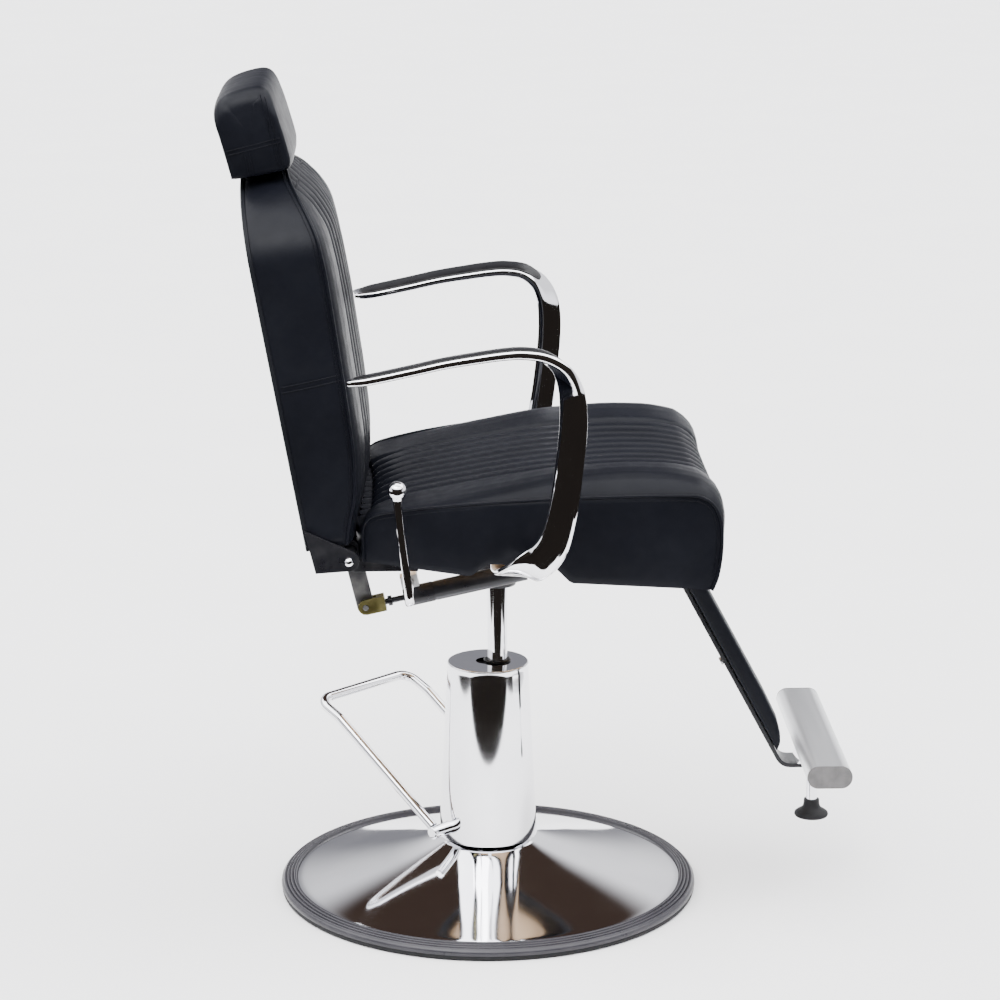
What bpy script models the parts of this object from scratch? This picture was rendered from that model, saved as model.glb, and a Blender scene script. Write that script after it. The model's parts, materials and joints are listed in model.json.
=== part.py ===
"""Hydraulic all-purpose barber chair. The origin is on the floor at the base's axis, the chair faces +X,
its left side is +Y and +Z is up. Metres throughout."""

import math

import bmesh
import bpy
import numpy as np
from mathutils import Matrix, Vector

# Driving dimensions
GAP = 0.0003  # between pieces that touch

BASE_R = 0.300
RING_IN_R = 0.2775
PLATE_R = 0.2675
PLATE_T = 0.008

PUMP_R = 0.045
PUMP_TOP_Z = 0.334
CONE_BOTTOM_R, CONE_BOTTOM_Z = 0.0705, 0.0805
CONE_TOP_R, CONE_TOP_Z = 0.0585, 0.3385
CONE_WALL = 0.0016

COLUMN_X = 0.0135  # the piston stands off the cone's axis
PISTON_R = 0.014
PISTON_BOTTOM_Z, PISTON_TOP_Z = 0.220, 0.4995
SOCKET_BOTTOM_Z = 0.452

PEDAL_TURN = math.radians(45)  # the pedal shaft's heading
PEDAL_Z = 0.100
PEDAL_OFFSET = 0.0139  # from the cone's axis to the shaft
PEDAL_HALF = 0.092
PEDAL_ROD_R = 0.007
SHAFT_R = 0.009

BOARD_BOTTOM_Z, BOARD_T = 0.5474, 0.0123
SEAT_REAR_X, SEAT_FRONT_X = -0.174, 0.306
SEAT_HALF_REAR, SEAT_HALF_FRONT = 0.2125, 0.250
SKIRT_T = 0.014

HINGE_X, HINGE_Z = -0.193, 0.552
BACK_TILT = math.radians(10.2)
BACK_HALF = 0.235
BACK_REAR = -0.034  # the back cushion's rear face, forward of the hinge
BACK_TOP = 0.510
HEAD_HALF = 0.130
PLATE_Y = 0.2357  # inner face of the backrest's side plates

LEVER_Y = -0.150  # the recline strut's plane
LEVER_PIN = (-0.172, 0.464)
STRUT_RISE = math.radians(12.5)
STRUT_LENGTH = 0.312
STRUT_R = 0.0135
STRUT_BODY = (0.054, 0.225)

LEG_TOP = (0.2285, 0.544)
LEG_LEAN = math.radians(28.3)
FOOTREST_X, FOOTREST_Z = 0.470, 0.219
FOOTREST_HALF = 0.180


# Materials and objects
def material(name, colour, roughness, metallic=0.0):
    made = bpy.data.materials.new(name)
    made.use_nodes = True
    shader = made.node_tree.nodes["Principled BSDF"]
    shader.inputs["Base Color"].default_value = (*colour, 1)
    shader.inputs["Roughness"].default_value = roughness
    shader.inputs["Metallic"].default_value = metallic
    return made


def empty(name, place, parent=None, turn=(0, 0, 0)):
    made = bpy.data.objects.new(name, None)
    made.empty_display_size = 0.03
    made.location = place
    made.rotation_euler = turn
    made.parent = parent
    bpy.context.collection.objects.link(made)
    return made


def add(name, mesh, look, place=(0, 0, 0), parent=None, turn=(0, 0, 0), crease=35):
    """An object of a mesh whose coordinates are the parent's."""
    made = bpy.data.objects.new(name, mesh)
    made.location = place
    made.rotation_euler = turn
    made.parent = parent
    bpy.context.collection.objects.link(made)
    mesh.shade_smooth()
    mesh.set_sharp_from_angle(angle=math.radians(crease))
    if look:
        mesh.materials.append(look)
    return made


def mesh_of(name, points, faces):
    mesh = bpy.data.meshes.new(name)
    mesh.from_pydata([tuple(p) for p in points], [], faces)
    shape = bmesh.new()
    shape.from_mesh(mesh)
    bmesh.ops.recalc_face_normals(shape, faces=shape.faces)
    shape.to_mesh(mesh)
    shape.free()
    return mesh


def turned(name, profile, segments=32):
    """A closed profile of (radius, height) turned round Z. A point on the axis becomes a pole."""
    points, rows = [], []
    for radius, height in profile:
        if radius == 0:
            rows.append([len(points)] * segments)
            points.append((0, 0, height))
            continue
        rows.append(list(range(len(points), len(points) + segments)))
        for i in range(segments):
            angle = 2 * math.pi * i / segments
            points.append((radius * math.cos(angle), radius * math.sin(angle), height))
    faces = []
    for k, row in enumerate(rows):
        above = rows[(k + 1) % len(rows)]
        if profile[k][0] == 0 and profile[(k + 1) % len(rows)][0] == 0:
            continue
        for i in range(segments):
            j = (i + 1) % segments
            corners = (row[i], row[j], above[j], above[i])
            faces.append(list(dict.fromkeys(corners)))
    return mesh_of(name, points, faces)


def disc_stack(name, steps, segments=32):
    """A solid turned piece from (radius, height) steps, bottom to top."""
    return turned(name, [(0, steps[0][1]), *steps, (0, steps[-1][1])], segments)


def loft(name, rings, closed_ends=True):
    """Quads between rings of equal length, with an n-gon at each end."""
    points = [p for ring in rings for p in ring]
    n = len(rings[0])
    faces = []
    for k in range(len(rings) - 1):
        for i in range(n):
            j = (i + 1) % n
            faces.append((k * n + i, k * n + j, (k + 1) * n + j, (k + 1) * n + i))
    if closed_ends:
        faces.append(tuple(range(n - 1, -1, -1)))
        faces.append(tuple(range((len(rings) - 1) * n, len(rings) * n)))
    return mesh_of(name, points, faces)


def box(name, low, high):
    (x0, y0, z0), (x1, y1, z1) = low, high
    return loft(name, [[(x, y, z) for x, y in ((x0, y0), (x1, y0), (x1, y1), (x0, y1))] for z in (z0, z1)])


def across(name, outline, y0, y1):
    """An outline in XZ, extruded along Y."""
    return loft(name, [[(x, y, z) for x, z in outline] for y in (y0, y1)])


def pin_mesh(name, radius, y0, y1, x=0.0, z=0.0, segments=16):
    """A cylinder along Y."""
    return across(name, arc((x, z), radius, 0, 360, segments), y0, y1)


def arc(centre, radius, start, end, count):
    """Points round a centre, from start to end in degrees. A full turn doesn't repeat its first point."""
    spans = count if abs(end - start) == 360 else count - 1
    angles = [math.radians(start + (end - start) * i / spans) for i in range(count)]
    return [(centre[0] + radius * math.cos(a), centre[1] + radius * math.sin(a)) for a in angles]


def rounded(low, high, radius, count=5):
    """A rectangle with round corners, as an outline."""
    (x0, y0), (x1, y1) = low, high
    right, left, back, front = x1 - radius, x0 + radius, y1 - radius, y0 + radius
    corners = ((right, back), (left, back), (left, front), (right, front))
    return [p for k, corner in enumerate(corners) for p in arc(corner, radius, 90 * k, 90 * k + 90, count)]


def cut(target, cutters):
    """Takes each mesh away from the target. The cutters stay as hidden wire guides in the target's frame."""
    for mesh in cutters:
        tool = bpy.data.objects.new(mesh.name, mesh)
        tool.parent = target
        tool.hide_render = True
        tool.display_type = "WIRE"
        bpy.context.collection.objects.link(tool)
        modifier = target.modifiers.new(mesh.name, "BOOLEAN")
        modifier.operation = "DIFFERENCE"
        modifier.object = tool


def tube_path(corners, radius, steps=5):
    """A polyline with each inner corner replaced by an arc of the given radius."""
    corners = [Vector(c) for c in corners]
    path = [corners[0]]
    for before, corner, after in zip(corners, corners[1:], corners[2:]):
        a, b = (before - corner).normalized(), (after - corner).normalized()
        half = a.angle(b) / 2
        reach = radius / math.tan(half)
        centre = corner + (a + b).normalized() * radius / math.sin(half)
        start, end = corner + a * reach - centre, corner + b * reach - centre
        turn = math.pi - 2 * half
        for i in range(steps + 1):
            share = i / steps
            swing = start * math.sin((1 - share) * turn) + end * math.sin(share * turn)
            path.append(centre + swing / math.sin(turn))
    return path + [corners[-1]]


def bent_rod(name, path, radius, look, parent=None, place=(0, 0, 0), turn=(0, 0, 0)):
    curve = bpy.data.curves.new(name, "CURVE")
    curve.dimensions = "3D"
    curve.bevel_depth = radius
    curve.bevel_resolution = 3
    curve.use_fill_caps = True
    spline = curve.splines.new("POLY")
    spline.points.add(len(path) - 1)
    for point, where in zip(spline.points, path):
        point.co = (*where, 1)
    curve.materials.append(look)
    made = bpy.data.objects.new(name, curve)
    made.parent = parent
    made.location = place
    made.rotation_euler = turn
    bpy.context.collection.objects.link(made)
    return made


def flat_bar(centre_line, thickness):
    """The outline of a bent flat bar seen from its edge, from the line along its middle."""
    line = [Vector(p) for p in centre_line]
    sides = []
    for i, point in enumerate(line):
        along = (line[min(i + 1, len(line) - 1)] - line[max(i - 1, 0)]).normalized()
        sides.append(Vector((-along.y, along.x)) * thickness / 2)
    left = [tuple(p + s) for p, s in zip(line, sides)]
    right = [tuple(p - s) for p, s in zip(line, sides)]
    return left + right[::-1]


# Base: plate, rubber rim, chrome cover, pump and its cone
def make_base(looks):
    add("base_plate", disc_stack("base_plate", [(PLATE_R, 0), (PLATE_R, PLATE_T)], 48), looks["steel"])
    gasket = [(PLATE_R + GAP, 0), (0.2965, 0), (0.2985, 0.0015), (0.2985, 0.0062), (PLATE_R + GAP, 0.0062)]
    add("floor_gasket", turned("floor_gasket", gasket, 48), looks["rubber"])
    ridges = []
    for k in range(4):
        radius, height = 0.2955 - 0.005 * k, 0.0165 + 0.0016 * k
        ridges += [(radius, height), (radius - 0.0022, height - 0.0011)]
    ring = [(RING_IN_R, 0.0065), (0.2985, 0.0065), (BASE_R, 0.0100), (0.2990, 0.0138), *ridges]
    ring.append((RING_IN_R, 0.0195))
    add("base_trim_ring", turned("base_trim_ring", ring, 48), looks["trim"])

    top = [(0.2765, 0.0172), (0.268, 0.0190), (0.240, 0.0258), (0.200, 0.0360), (0.160, 0.0465)]
    top += [(0.125, 0.0560), (0.095, 0.0650), (0.075, 0.0722), (0.0655, 0.0780), (0.0620, 0.0885)]
    under = [(r - 0.0018, z - 0.0014) for r, z in top[::-1]]
    dome = [*top, *under, (0.2747, 0.0068), (0.2765, 0.0068)]
    add("base_cover", turned("base_cover", dome, 40), looks["chrome"])

    flange_z = PLATE_T + GAP
    body = [(0.066, flange_z), (0.066, flange_z + 0.008), (PUMP_R, flange_z + 0.008), (PUMP_R, PUMP_TOP_Z)]
    pump = add("pump_body", disc_stack("pump_body", body, 28), looks["black_paint"])
    bore = disc_stack("piston_bore", [(PISTON_R + GAP, 0.158), (PISTON_R + GAP, 0.40)], 24)
    bore.transform(Matrix.Translation((COLUMN_X, 0, 0)))
    window = box("shaft_window", (-0.07, -0.034, 0.085), (0.07, 0.013, 0.118))
    plunger_bore = disc_stack("plunger_bore", [(0.0063, 0.111), (0.0063, 0.1565)], 12)
    plunger_bore.transform(Matrix.Translation((0, -0.024, 0)))
    for mesh in (window, plunger_bore):
        mesh.transform(Matrix.Rotation(PEDAL_TURN, 4, "Z") @ Matrix.Translation((0, PEDAL_OFFSET, 0)))
    bolt_holes = []
    for k in range(4):
        hole = disc_stack("flange_hole", [(0.0044, 0), (0.0044, 0.03)], 12)
        hole.transform(Matrix.Rotation(math.pi / 2 * (k + 0.5), 4, "Z") @ Matrix.Translation((0.056, 0, 0)))
        bolt_holes.append(hole)
    cut(pump, [bore, window, plunger_bore, *bolt_holes])
    head_z = flange_z + 0.008 + GAP
    for k in range(4):
        shank = [(0.004, flange_z), (0.004, head_z), (0.0065, head_z), (0.0065, head_z + 0.005)]
        angle = math.pi / 2 * (k + 0.5)
        place = (0.056 * math.cos(angle), 0.056 * math.sin(angle), 0)
        add(f"pump_bolt_{k + 1}", disc_stack("pump_bolt", shank, 12), looks["steel"], place=place)

    cone = [(CONE_BOTTOM_R, CONE_BOTTOM_Z), (CONE_TOP_R, CONE_TOP_Z - 0.002)]
    cone += [(CONE_TOP_R - 0.002, CONE_TOP_Z), (0, CONE_TOP_Z), (0, CONE_TOP_Z - CONE_WALL)]
    cone += [(CONE_TOP_R - 0.004, CONE_TOP_Z - CONE_WALL), (CONE_BOTTOM_R - CONE_WALL, CONE_BOTTOM_Z)]
    cover = add("cone_cover", turned("cone_cover", cone, 40), looks["chrome"])
    hole = disc_stack("bush_hole", [(0.0168, 0.32), (0.0168, 0.36)], 24)
    hole.transform(Matrix.Translation((COLUMN_X, 0, 0)))
    slot = box("shaft_slot", (-0.1, -0.0112, 0.05), (0.1, 0.0112, 0.122))
    slot.transform(Matrix.Rotation(PEDAL_TURN, 4, "Z") @ Matrix.Translation((0, PEDAL_OFFSET, 0)))
    cut(cover, [hole, slot])
    bore, rest = PISTON_R + GAP, CONE_TOP_Z + GAP
    bush = [(bore, 0.3345), (0.0165, 0.3345), (0.0165, rest), (0.0195, rest)]
    bush += [(0.0195, CONE_TOP_Z + 0.0025), (0.0175, CONE_TOP_Z + 0.0035), (bore, CONE_TOP_Z + 0.0035)]
    add("cover_bush", turned("cover_bush", bush, 24), looks["black_plastic"], place=(COLUMN_X, 0, 0))


def make_pump_moving(looks):
    """The pedal, its shaft and cam, the plunger that it lifts, and the piston rod."""
    turn = Matrix.Rotation(PEDAL_TURN, 4, "Z")
    axis = empty("pedal_axis", turn @ Vector((0, PEDAL_OFFSET, PEDAL_Z)), turn=(0, 0, PEDAL_TURN))
    shaft = loft("pedal_shaft", [[(x, r * c, r * s) for c, s in arc((0, 0), 1, 0, 360, 20)] for x, r in
                                 ((-0.103, 0.0075), (-0.1015, SHAFT_R), (0.1015, SHAFT_R), (0.103, 0.0075))])
    add("pedal_shaft", shaft, looks["chrome"], parent=axis)
    near = [(-PEDAL_HALF, 0.008, 0.0055), (-PEDAL_HALF, 0.197, 0.1267), (-PEDAL_HALF, 0.2415, 0.1450)]
    far = [(-x, y, z) for x, y, z in near[::-1]]
    path = tube_path(near + far, 0.022)
    bent_rod("pedal_bar", path, PEDAL_ROD_R, looks["chrome"], parent=axis)
    cam = [(x, y) for x, y in arc((0, 0), SHAFT_R + GAP, 150, 210, 6)]
    cam = [(-0.030, -0.004), *[(x, y) for x, y in cam[::-1]], (-0.030, 0.0055)]
    cam = loft("pedal_cam", [[(x, y, z) for y, z in cam] for x in (-0.006, 0.006)])
    add("pedal_cam", cam, looks["steel"], parent=axis)
    plunger = disc_stack("pump_plunger", [(0.006, 0.1061), (0.006, 0.1435)], 14)
    add("pump_plunger", plunger, looks["steel"], place=turn @ Vector((0, PEDAL_OFFSET - 0.024, 0)))
    rod = [(PISTON_R - 0.001, PISTON_BOTTOM_Z), (PISTON_R, PISTON_BOTTOM_Z + 0.001)]
    rod += [(PISTON_R, PISTON_TOP_Z - 0.002), (PISTON_R - 0.002, PISTON_TOP_Z)]
    add("piston_rod", disc_stack("piston_rod", rod, 28), looks["chrome"], place=(COLUMN_X, 0, 0))


# Seat: socket, plate, board, cushion
def seat_half(x):
    """Half the seat's width: it narrows towards the backrest."""
    share = min(max((x - SEAT_REAR_X) / 0.24, 0), 1)
    return SEAT_HALF_REAR + (SEAT_HALF_FRONT - SEAT_HALF_REAR) * math.sin(share * math.pi / 2)


def seat_bottom(x):
    """The lower edge of the seat's skirt: it drops towards the front."""
    return float(np.interp(x, (SEAT_REAR_X, -0.118, -0.025, 0.100, 0.293), (0.544, 0.539, 0.530, 0.522, 0.510)))


def seat_top(x, across_share):
    """The seat's upper surface. across_share is 0 at the middle and 1 at the piping of the side panel."""
    piping_x = (SEAT_REAR_X, -0.150, -0.070, 0.0, 0.085, 0.285)
    piping = np.interp(x, piping_x, (0.604, 0.612, 0.6245, 0.6325, 0.637, 0.642))
    crown = np.interp(x, (-0.140, -0.070, 0.0, 0.085, 0.250), (0.0, 0.004, 0.012, 0.025, 0.031))
    lift = np.interp(across_share, (0, 0.5, 0.75, 0.92, 1), (0.55, 0.75, 1.0, 0.65, 0))
    return float(piping + crown * lift)


def seat_cushion_mesh():
    """Rings round the cushion's section at stations from back to front. The ends close in to the waterfall front."""
    stations = [(SEAT_REAR_X, 0.010, 0.020), (-0.1715, 0.004, 0.009), (-0.164, 0, 0.0025)]
    stations += [(x, 0, 0) for x in (-0.150, -0.110, -0.060, 0.0, 0.060, 0.130, 0.200, 0.250)]
    stations += [(0.275, 0, 0.006), (0.292, 0.003, 0.022), (0.302, 0.024, 0.042), (SEAT_FRONT_X, 0.058, 0.068)]
    shares = (-1, -0.92, -0.75, -0.5, 0, 0.5, 0.75, 0.92, 1)
    rings = []
    for x, up, down in stations:
        half = seat_half(x)
        low = seat_bottom(x) + up
        top = [(x, s * half, seat_top(x, abs(s)) - down) for s in shares]
        side = (low + top[0][2]) / 2
        rings.append([(x, -half, low), (x, -half, side), *top, (x, half, side), (x, half, low)])
    return loft("seat_cushion", rings)


def plan_prism(name, x0, x1, inset, z0, z1):
    """A prism that follows the seat's tapered plan, inset from its sides."""
    xs = np.linspace(x0, x1, 7)
    outline = [(x, seat_half(x) - inset) for x in xs] + [(x, inset - seat_half(x)) for x in xs[::-1]]
    return loft(name, [[(x, y, z) for x, y in outline] for z in (z0, z1)])


def make_seat(looks, turntable):
    socket = [(PISTON_R + GAP, SOCKET_BOTTOM_Z), (0.026, SOCKET_BOTTOM_Z), (0.030, 0.462)]
    socket += [(0.030, 0.5412), (0, 0.5412), (0, 0.4998)]
    socket.append((PISTON_R + GAP, 0.4998))
    add("swivel_socket", turned("swivel_socket", socket, 24), looks["black_paint"], parent=turntable)
    outline = rounded((-0.10, -0.115), (0.10, 0.115), 0.012, 4)
    plate = loft("mount_plate", [[(x, y, z) for x, y in outline] for z in (0.5415, 0.5470)])
    add("mount_plate", plate, looks["black_paint"], parent=turntable)
    seat = empty("seat_frame", (0, 0, 0))
    board_top = BOARD_BOTTOM_Z + BOARD_T
    board = plan_prism("seat_board", -0.150, 0.268, SKIRT_T + 0.004, BOARD_BOTTOM_Z, board_top)
    add("seat_board", board, looks["wood"], parent=seat)
    cushion = add("seat_cushion", seat_cushion_mesh(), looks["leather"], parent=seat)
    recess = plan_prism("board_recess", -0.158, 0.276, SKIRT_T, 0.48, board_top + GAP)
    arm_notch = [(-0.034, 0.49), (-0.030, 0.5295), (-0.010, 0.5466), (0.058, 0.5466)]
    arm_notch += [(0.083, 0.5420), (0.106, 0.518), (0.110, 0.49)]
    arm_notch = across("arm_notch", arm_notch, -0.30, 0.30)
    lever_notch = box("lever_notch", (-0.19, LEVER_Y - 0.013, 0.50), (-0.150, LEVER_Y + 0.013, 0.5545))
    cut(cushion, [recess, arm_notch, lever_notch])
    ear = arc((HINGE_X, HINGE_Z), 0.018, -20, 250, 12)
    ear += [(-0.186, 0.5250), (-0.100, 0.5250), (-0.100, 0.5470), (-0.148, 0.5470), (-0.154, 0.5395)]
    for side, y in (("left", 0.192), ("right", -0.192)):
        plate = across("hinge_ear", ear, y - 0.003, y + 0.003)
        plate = add(f"hinge_ear_{side}", plate, looks["black_paint"], parent=seat)
        cut(plate, [pin_mesh("ear_bore", 0.0103, y - 0.01, y + 0.01, HINGE_X, HINGE_Z)])


# Arms: a chromed bar that runs forward, turns down and goes under the seat, with a black pad on top
# Down each row: x, y, z, the heading and the inward tilt of the bar's width in degrees, its width and its thickness.
ARM_STATIONS = (
    (-0.1900, 0.3185, 0.8120, 90, 6.0, 0.024, 0.0085),
    (-0.1820, 0.3195, 0.8133, 90, 6.0, 0.037, 0.0100),
    (-0.1600, 0.3205, 0.8165, 90, 6.5, 0.044, 0.0115),
    (-0.1080, 0.3205, 0.8274, 90, 6.5, 0.045, 0.0118),
    (-0.0650, 0.3205, 0.8368, 90, 6.5, 0.045, 0.0120),
    (-0.0220, 0.3205, 0.8437, 90, 6.5, 0.045, 0.0125),
    (0.0120, 0.3205, 0.8482, 90, 6.5, 0.045, 0.0130),
    (0.0380, 0.3205, 0.8492, 88, 6.5, 0.045, 0.0135),
    (0.0640, 0.3205, 0.8445, 80, 6.0, 0.045, 0.0140),
    (0.0855, 0.3205, 0.8290, 67, 5.0, 0.045, 0.0140),
    (0.0975, 0.3205, 0.8060, 56, 3.0, 0.045, 0.0140),
    (0.1020, 0.3205, 0.7780, 50, 0.0, 0.045, 0.0140),
    (0.1015, 0.3205, 0.7400, 48, 0.0, 0.045, 0.0140),
    (0.0965, 0.3200, 0.6900, 47, 0.0, 0.045, 0.0140),
    (0.0910, 0.3195, 0.6480, 45, 0.0, 0.045, 0.0140),
    (0.0855, 0.3170, 0.6180, 43, 0.0, 0.045, 0.0140),
    (0.0780, 0.3120, 0.5920, 40, 0.0, 0.045, 0.0140),
    (0.0660, 0.3030, 0.5710, 36, 0.0, 0.045, 0.0140),
    (0.0480, 0.2900, 0.5550, 28, 0.0, 0.045, 0.0130),
    (0.0320, 0.2730, 0.5450, 15, 0.0, 0.045, 0.0115),
    (0.0240, 0.2520, 0.5385, 5, 0.0, 0.045, 0.0100),
    (0.0200, 0.2300, 0.5370, 0, 0.0, 0.045, 0.0100),
    (0.0200, 0.2000, 0.5400, 0, 0.0, 0.045, 0.0100),
    (0.0200, 0.1680, 0.5405, 0, 0.0, 0.045, 0.0100),
)


def spline_rows(rows, per_span):
    """Rows of numbers made finer with a Catmull-Rom curve through them."""
    rows = np.array(rows, float)
    ends = np.vstack([2 * rows[0] - rows[1], rows, 2 * rows[-1] - rows[-2]])
    fine = []
    for k in range(1, len(ends) - 2):
        p0, p1, p2, p3 = ends[k - 1 : k + 3]
        for i in range(per_span):
            t = i / per_span
            bend = 2 * p0 - 5 * p1 + 4 * p2 - p3 + t * (3 * (p1 - p2) + p3 - p0)
            fine.append(p1 + 0.5 * t * (p2 - p0 + t * bend))
    return np.array(fine + [rows[-1]])


def arm_rings(side, section, first=0.0, last=1.0, per_span=2):
    """Rings along the arm between two shares of its length. section(width, thickness) gives (across, up) points."""
    rows = spline_rows(ARM_STATIONS, per_span)
    places = rows[:, :3] * (1, side, 1)
    rings = []
    count = len(rows)
    for i in range(count):
        if not first <= i / (count - 1) <= last:
            continue
        along = places[min(i + 1, count - 1)] - places[max(i - 1, 0)]
        along /= np.linalg.norm(along)
        heading, tilt = np.radians(rows[i, 3:5])
        inward = np.array((-np.cos(heading) * np.cos(tilt), -side * np.sin(heading) * np.cos(tilt), -np.sin(tilt)))
        inward -= along * (inward @ along)
        inward /= np.linalg.norm(inward)
        up = np.cross(along, inward) * -side
        rings.append([places[i] + inward * a + up * b for a, b in section(rows[i, 5], rows[i, 6])])
    return rings


def arm_section(width, thickness):
    """A flat bar with round edges and a slightly crowned upper face."""
    half, thick = width / 2, thickness / 2
    upper = [(-half, -thick * 0.45), (-half, thick * 0.45), (-half * 0.88, thick), (-half * 0.3, thick + 0.0008)]
    under = [(half, -thick * 0.45), (half * 0.88, -thick), (-half * 0.88, -thick)]
    return upper + [(-a, b) for a, b in upper[:0:-1]] + under


def pad_section(width, thickness):
    half, low = width * 0.43, thickness / 2 + 0.0011
    return [(-half, low), (half, low), (half * 0.92, low + 0.0024), (0, low + 0.0034), (-half * 0.92, low + 0.0024)]


def make_arms(looks):
    for name, side in (("left", 1), ("right", -1)):
        add(f"arm_{name}", loft("arm", arm_rings(side, arm_section)), looks["chrome"])
        pad = loft("arm_pad", arm_rings(side, pad_section, 0.05, 0.335))
        add(f"arm_pad_{name}", pad, looks["black_plastic"])
        bolt = disc_stack("arm_bolt", [(0.0065, 0.5300), (0.0065, 0.5348)], 12)
        add(f"arm_bolt_{name}", bolt, looks["steel"], place=(0.020, side * 0.190, 0))


# Footrest: bent flat bar, padded cover, oval tube, stem and rubber foot
def leg_point(down, front):
    """A place in XZ from distances down the leg and in front of its bar."""
    s, c = math.sin(LEG_LEAN), math.cos(LEG_LEAN)
    return (LEG_TOP[0] + down * s + front * c, LEG_TOP[1] - down * c + front * s)


def make_footrest(looks):
    foot_z = LEG_TOP[1] - 0.4095 * math.cos(LEG_LEAN)
    corners = [(0.178, LEG_TOP[1]), LEG_TOP, leg_point(0.4095, 0), (0.494, foot_z)]
    line = [p.to_2d() for p in tube_path([(x, z, 0) for x, z in corners], 0.020, 4)]
    bar = add("leg_bar", across("leg_bar", flat_bar(line, 0.006), -0.025, 0.025), looks["black_paint"])
    bar_z = corners[-1][1]
    stem_hole = disc_stack("bar_hole", [(0.0083, bar_z - 0.02), (0.0083, bar_z + 0.02)], 16)
    stem_hole.transform(Matrix.Translation((FOOTREST_X, 0, 0)))
    cut(bar, [stem_hole])
    side = [leg_point(0.060, 0.0034), leg_point(0.060, 0.0285), leg_point(0.300, 0.0285), leg_point(0.345, 0.0270)]
    side += [leg_point(0.370, 0.0225), leg_point(0.382, 0.0140), leg_point(0.383, 0.0080), leg_point(0.372, 0.0034)]
    add("leg_cover", across("leg_cover", side, -0.030, 0.030), looks["leather"])
    head = disc_stack("cover_screw", [(0.005, 0), (0.0058, 0.0012), (0.0058, 0.004)], 12)
    x, z = leg_point(0.235, -0.0034)
    add("cover_screw", head, looks["steel"], place=(x, 0, z), turn=(0, -math.pi / 2 - LEG_LEAN, 0))

    half, high = 0.0315, 0.0160
    low, top = (FOOTREST_X - half, FOOTREST_Z - high), (FOOTREST_X + half, FOOTREST_Z + high)
    outer = rounded(low, top, high - 0.0005, 7)
    wall = 0.002
    inner = rounded((low[0] + wall, low[1] + wall), (top[0] - wall, top[1] - wall), high - 0.003, 5)
    tube = add("footrest_tube", across("footrest_tube", outer, -FOOTREST_HALF, FOOTREST_HALF), looks["aluminium"])
    cut(tube, [across("tube_bore", inner, -0.2, 0.2)])
    for name, side_y in (("left", 1), ("right", -1)):
        y = side_y * (FOOTREST_HALF + GAP)
        add(f"footrest_cap_{name}", across("footrest_cap", outer, *sorted((y, y + side_y * 0.003))), looks["grey_plastic"])
    saddle = [(0.444, bar_z + 0.0033), (0.492, bar_z + 0.0033), (0.492, 0.2026), (0.452, 0.2026)]
    block = add("footrest_saddle", across("footrest_saddle", saddle, -0.028, 0.028), looks["chrome"])
    saddle_hole = disc_stack("saddle_hole", [(0.0083, 0.15), (0.0083, 0.23)], 16)
    saddle_hole.transform(Matrix.Translation((FOOTREST_X, 0, 0)))
    cut(block, [saddle_hole])
    stem = disc_stack("footrest_stem", [(0.008, 0.1243), (0.008, 0.2025)], 16)
    add("footrest_stem", stem, looks["chrome"], place=(FOOTREST_X, 0, 0))
    foot = [(0.022, 0.098), (0.0245, 0.1005), (0.0235, 0.105), (0.0145, 0.110), (0.0115, 0.116), (0.0110, 0.124)]
    add("footrest_foot", disc_stack("footrest_foot", foot, 24), looks["rubber"], place=(FOOTREST_X, 0, 0))


# Backrest, in a frame at the hinge that leans back: x forward, z up the back
def back_half(w):
    """Half the back's width at height w up the back, with an arch at the top."""
    if w <= 0.400:
        return BACK_HALF
    return BACK_HALF * max(0.04, 1 - ((w - 0.400) / (BACK_TOP + 0.002 - 0.400)) ** 2.3) ** 0.5


def back_front(w):
    """How far the cushion's front stands forward of the hinge line."""
    heights = (0.022, 0.030, 0.075, 0.100, 0.110, 0.200, 0.330, 0.410, 0.450, 0.475, 0.495, BACK_TOP)
    fronts = (0.000, 0.006, 0.018, 0.040, 0.047, 0.052, 0.055, 0.053, 0.048, 0.039, 0.026, 0.011)
    return float(np.interp(w, heights, fronts))


def back_ring(w, rear, front, inset=0.0, bow=0.0):
    half = back_half(w) - inset
    edge = min(0.016, (front - rear) * 0.35, half * 0.4)
    outline = rounded((rear, -half), (front, half), edge, 3)
    return [(x + (bow * (1 - (y / half) ** 2) if x > rear + edge else 0), y, w) for x, y in outline]


BACK_LEVELS = (0.022, 0.030, 0.075, 0.100, 0.112, 0.200, 0.300, 0.400, 0.433, 0.458, 0.478, 0.493, 0.504, BACK_TOP)


def back_sheet(name, rear, front, inset):
    levels = [w for w in BACK_LEVELS if w < 0.505]
    rings = []
    for w in levels:
        half = back_half(w) - inset
        rings.append([(rear, -half, w), (front, -half, w), (front, half, w), (rear, half, w)])
    return loft(name, rings)


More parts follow.
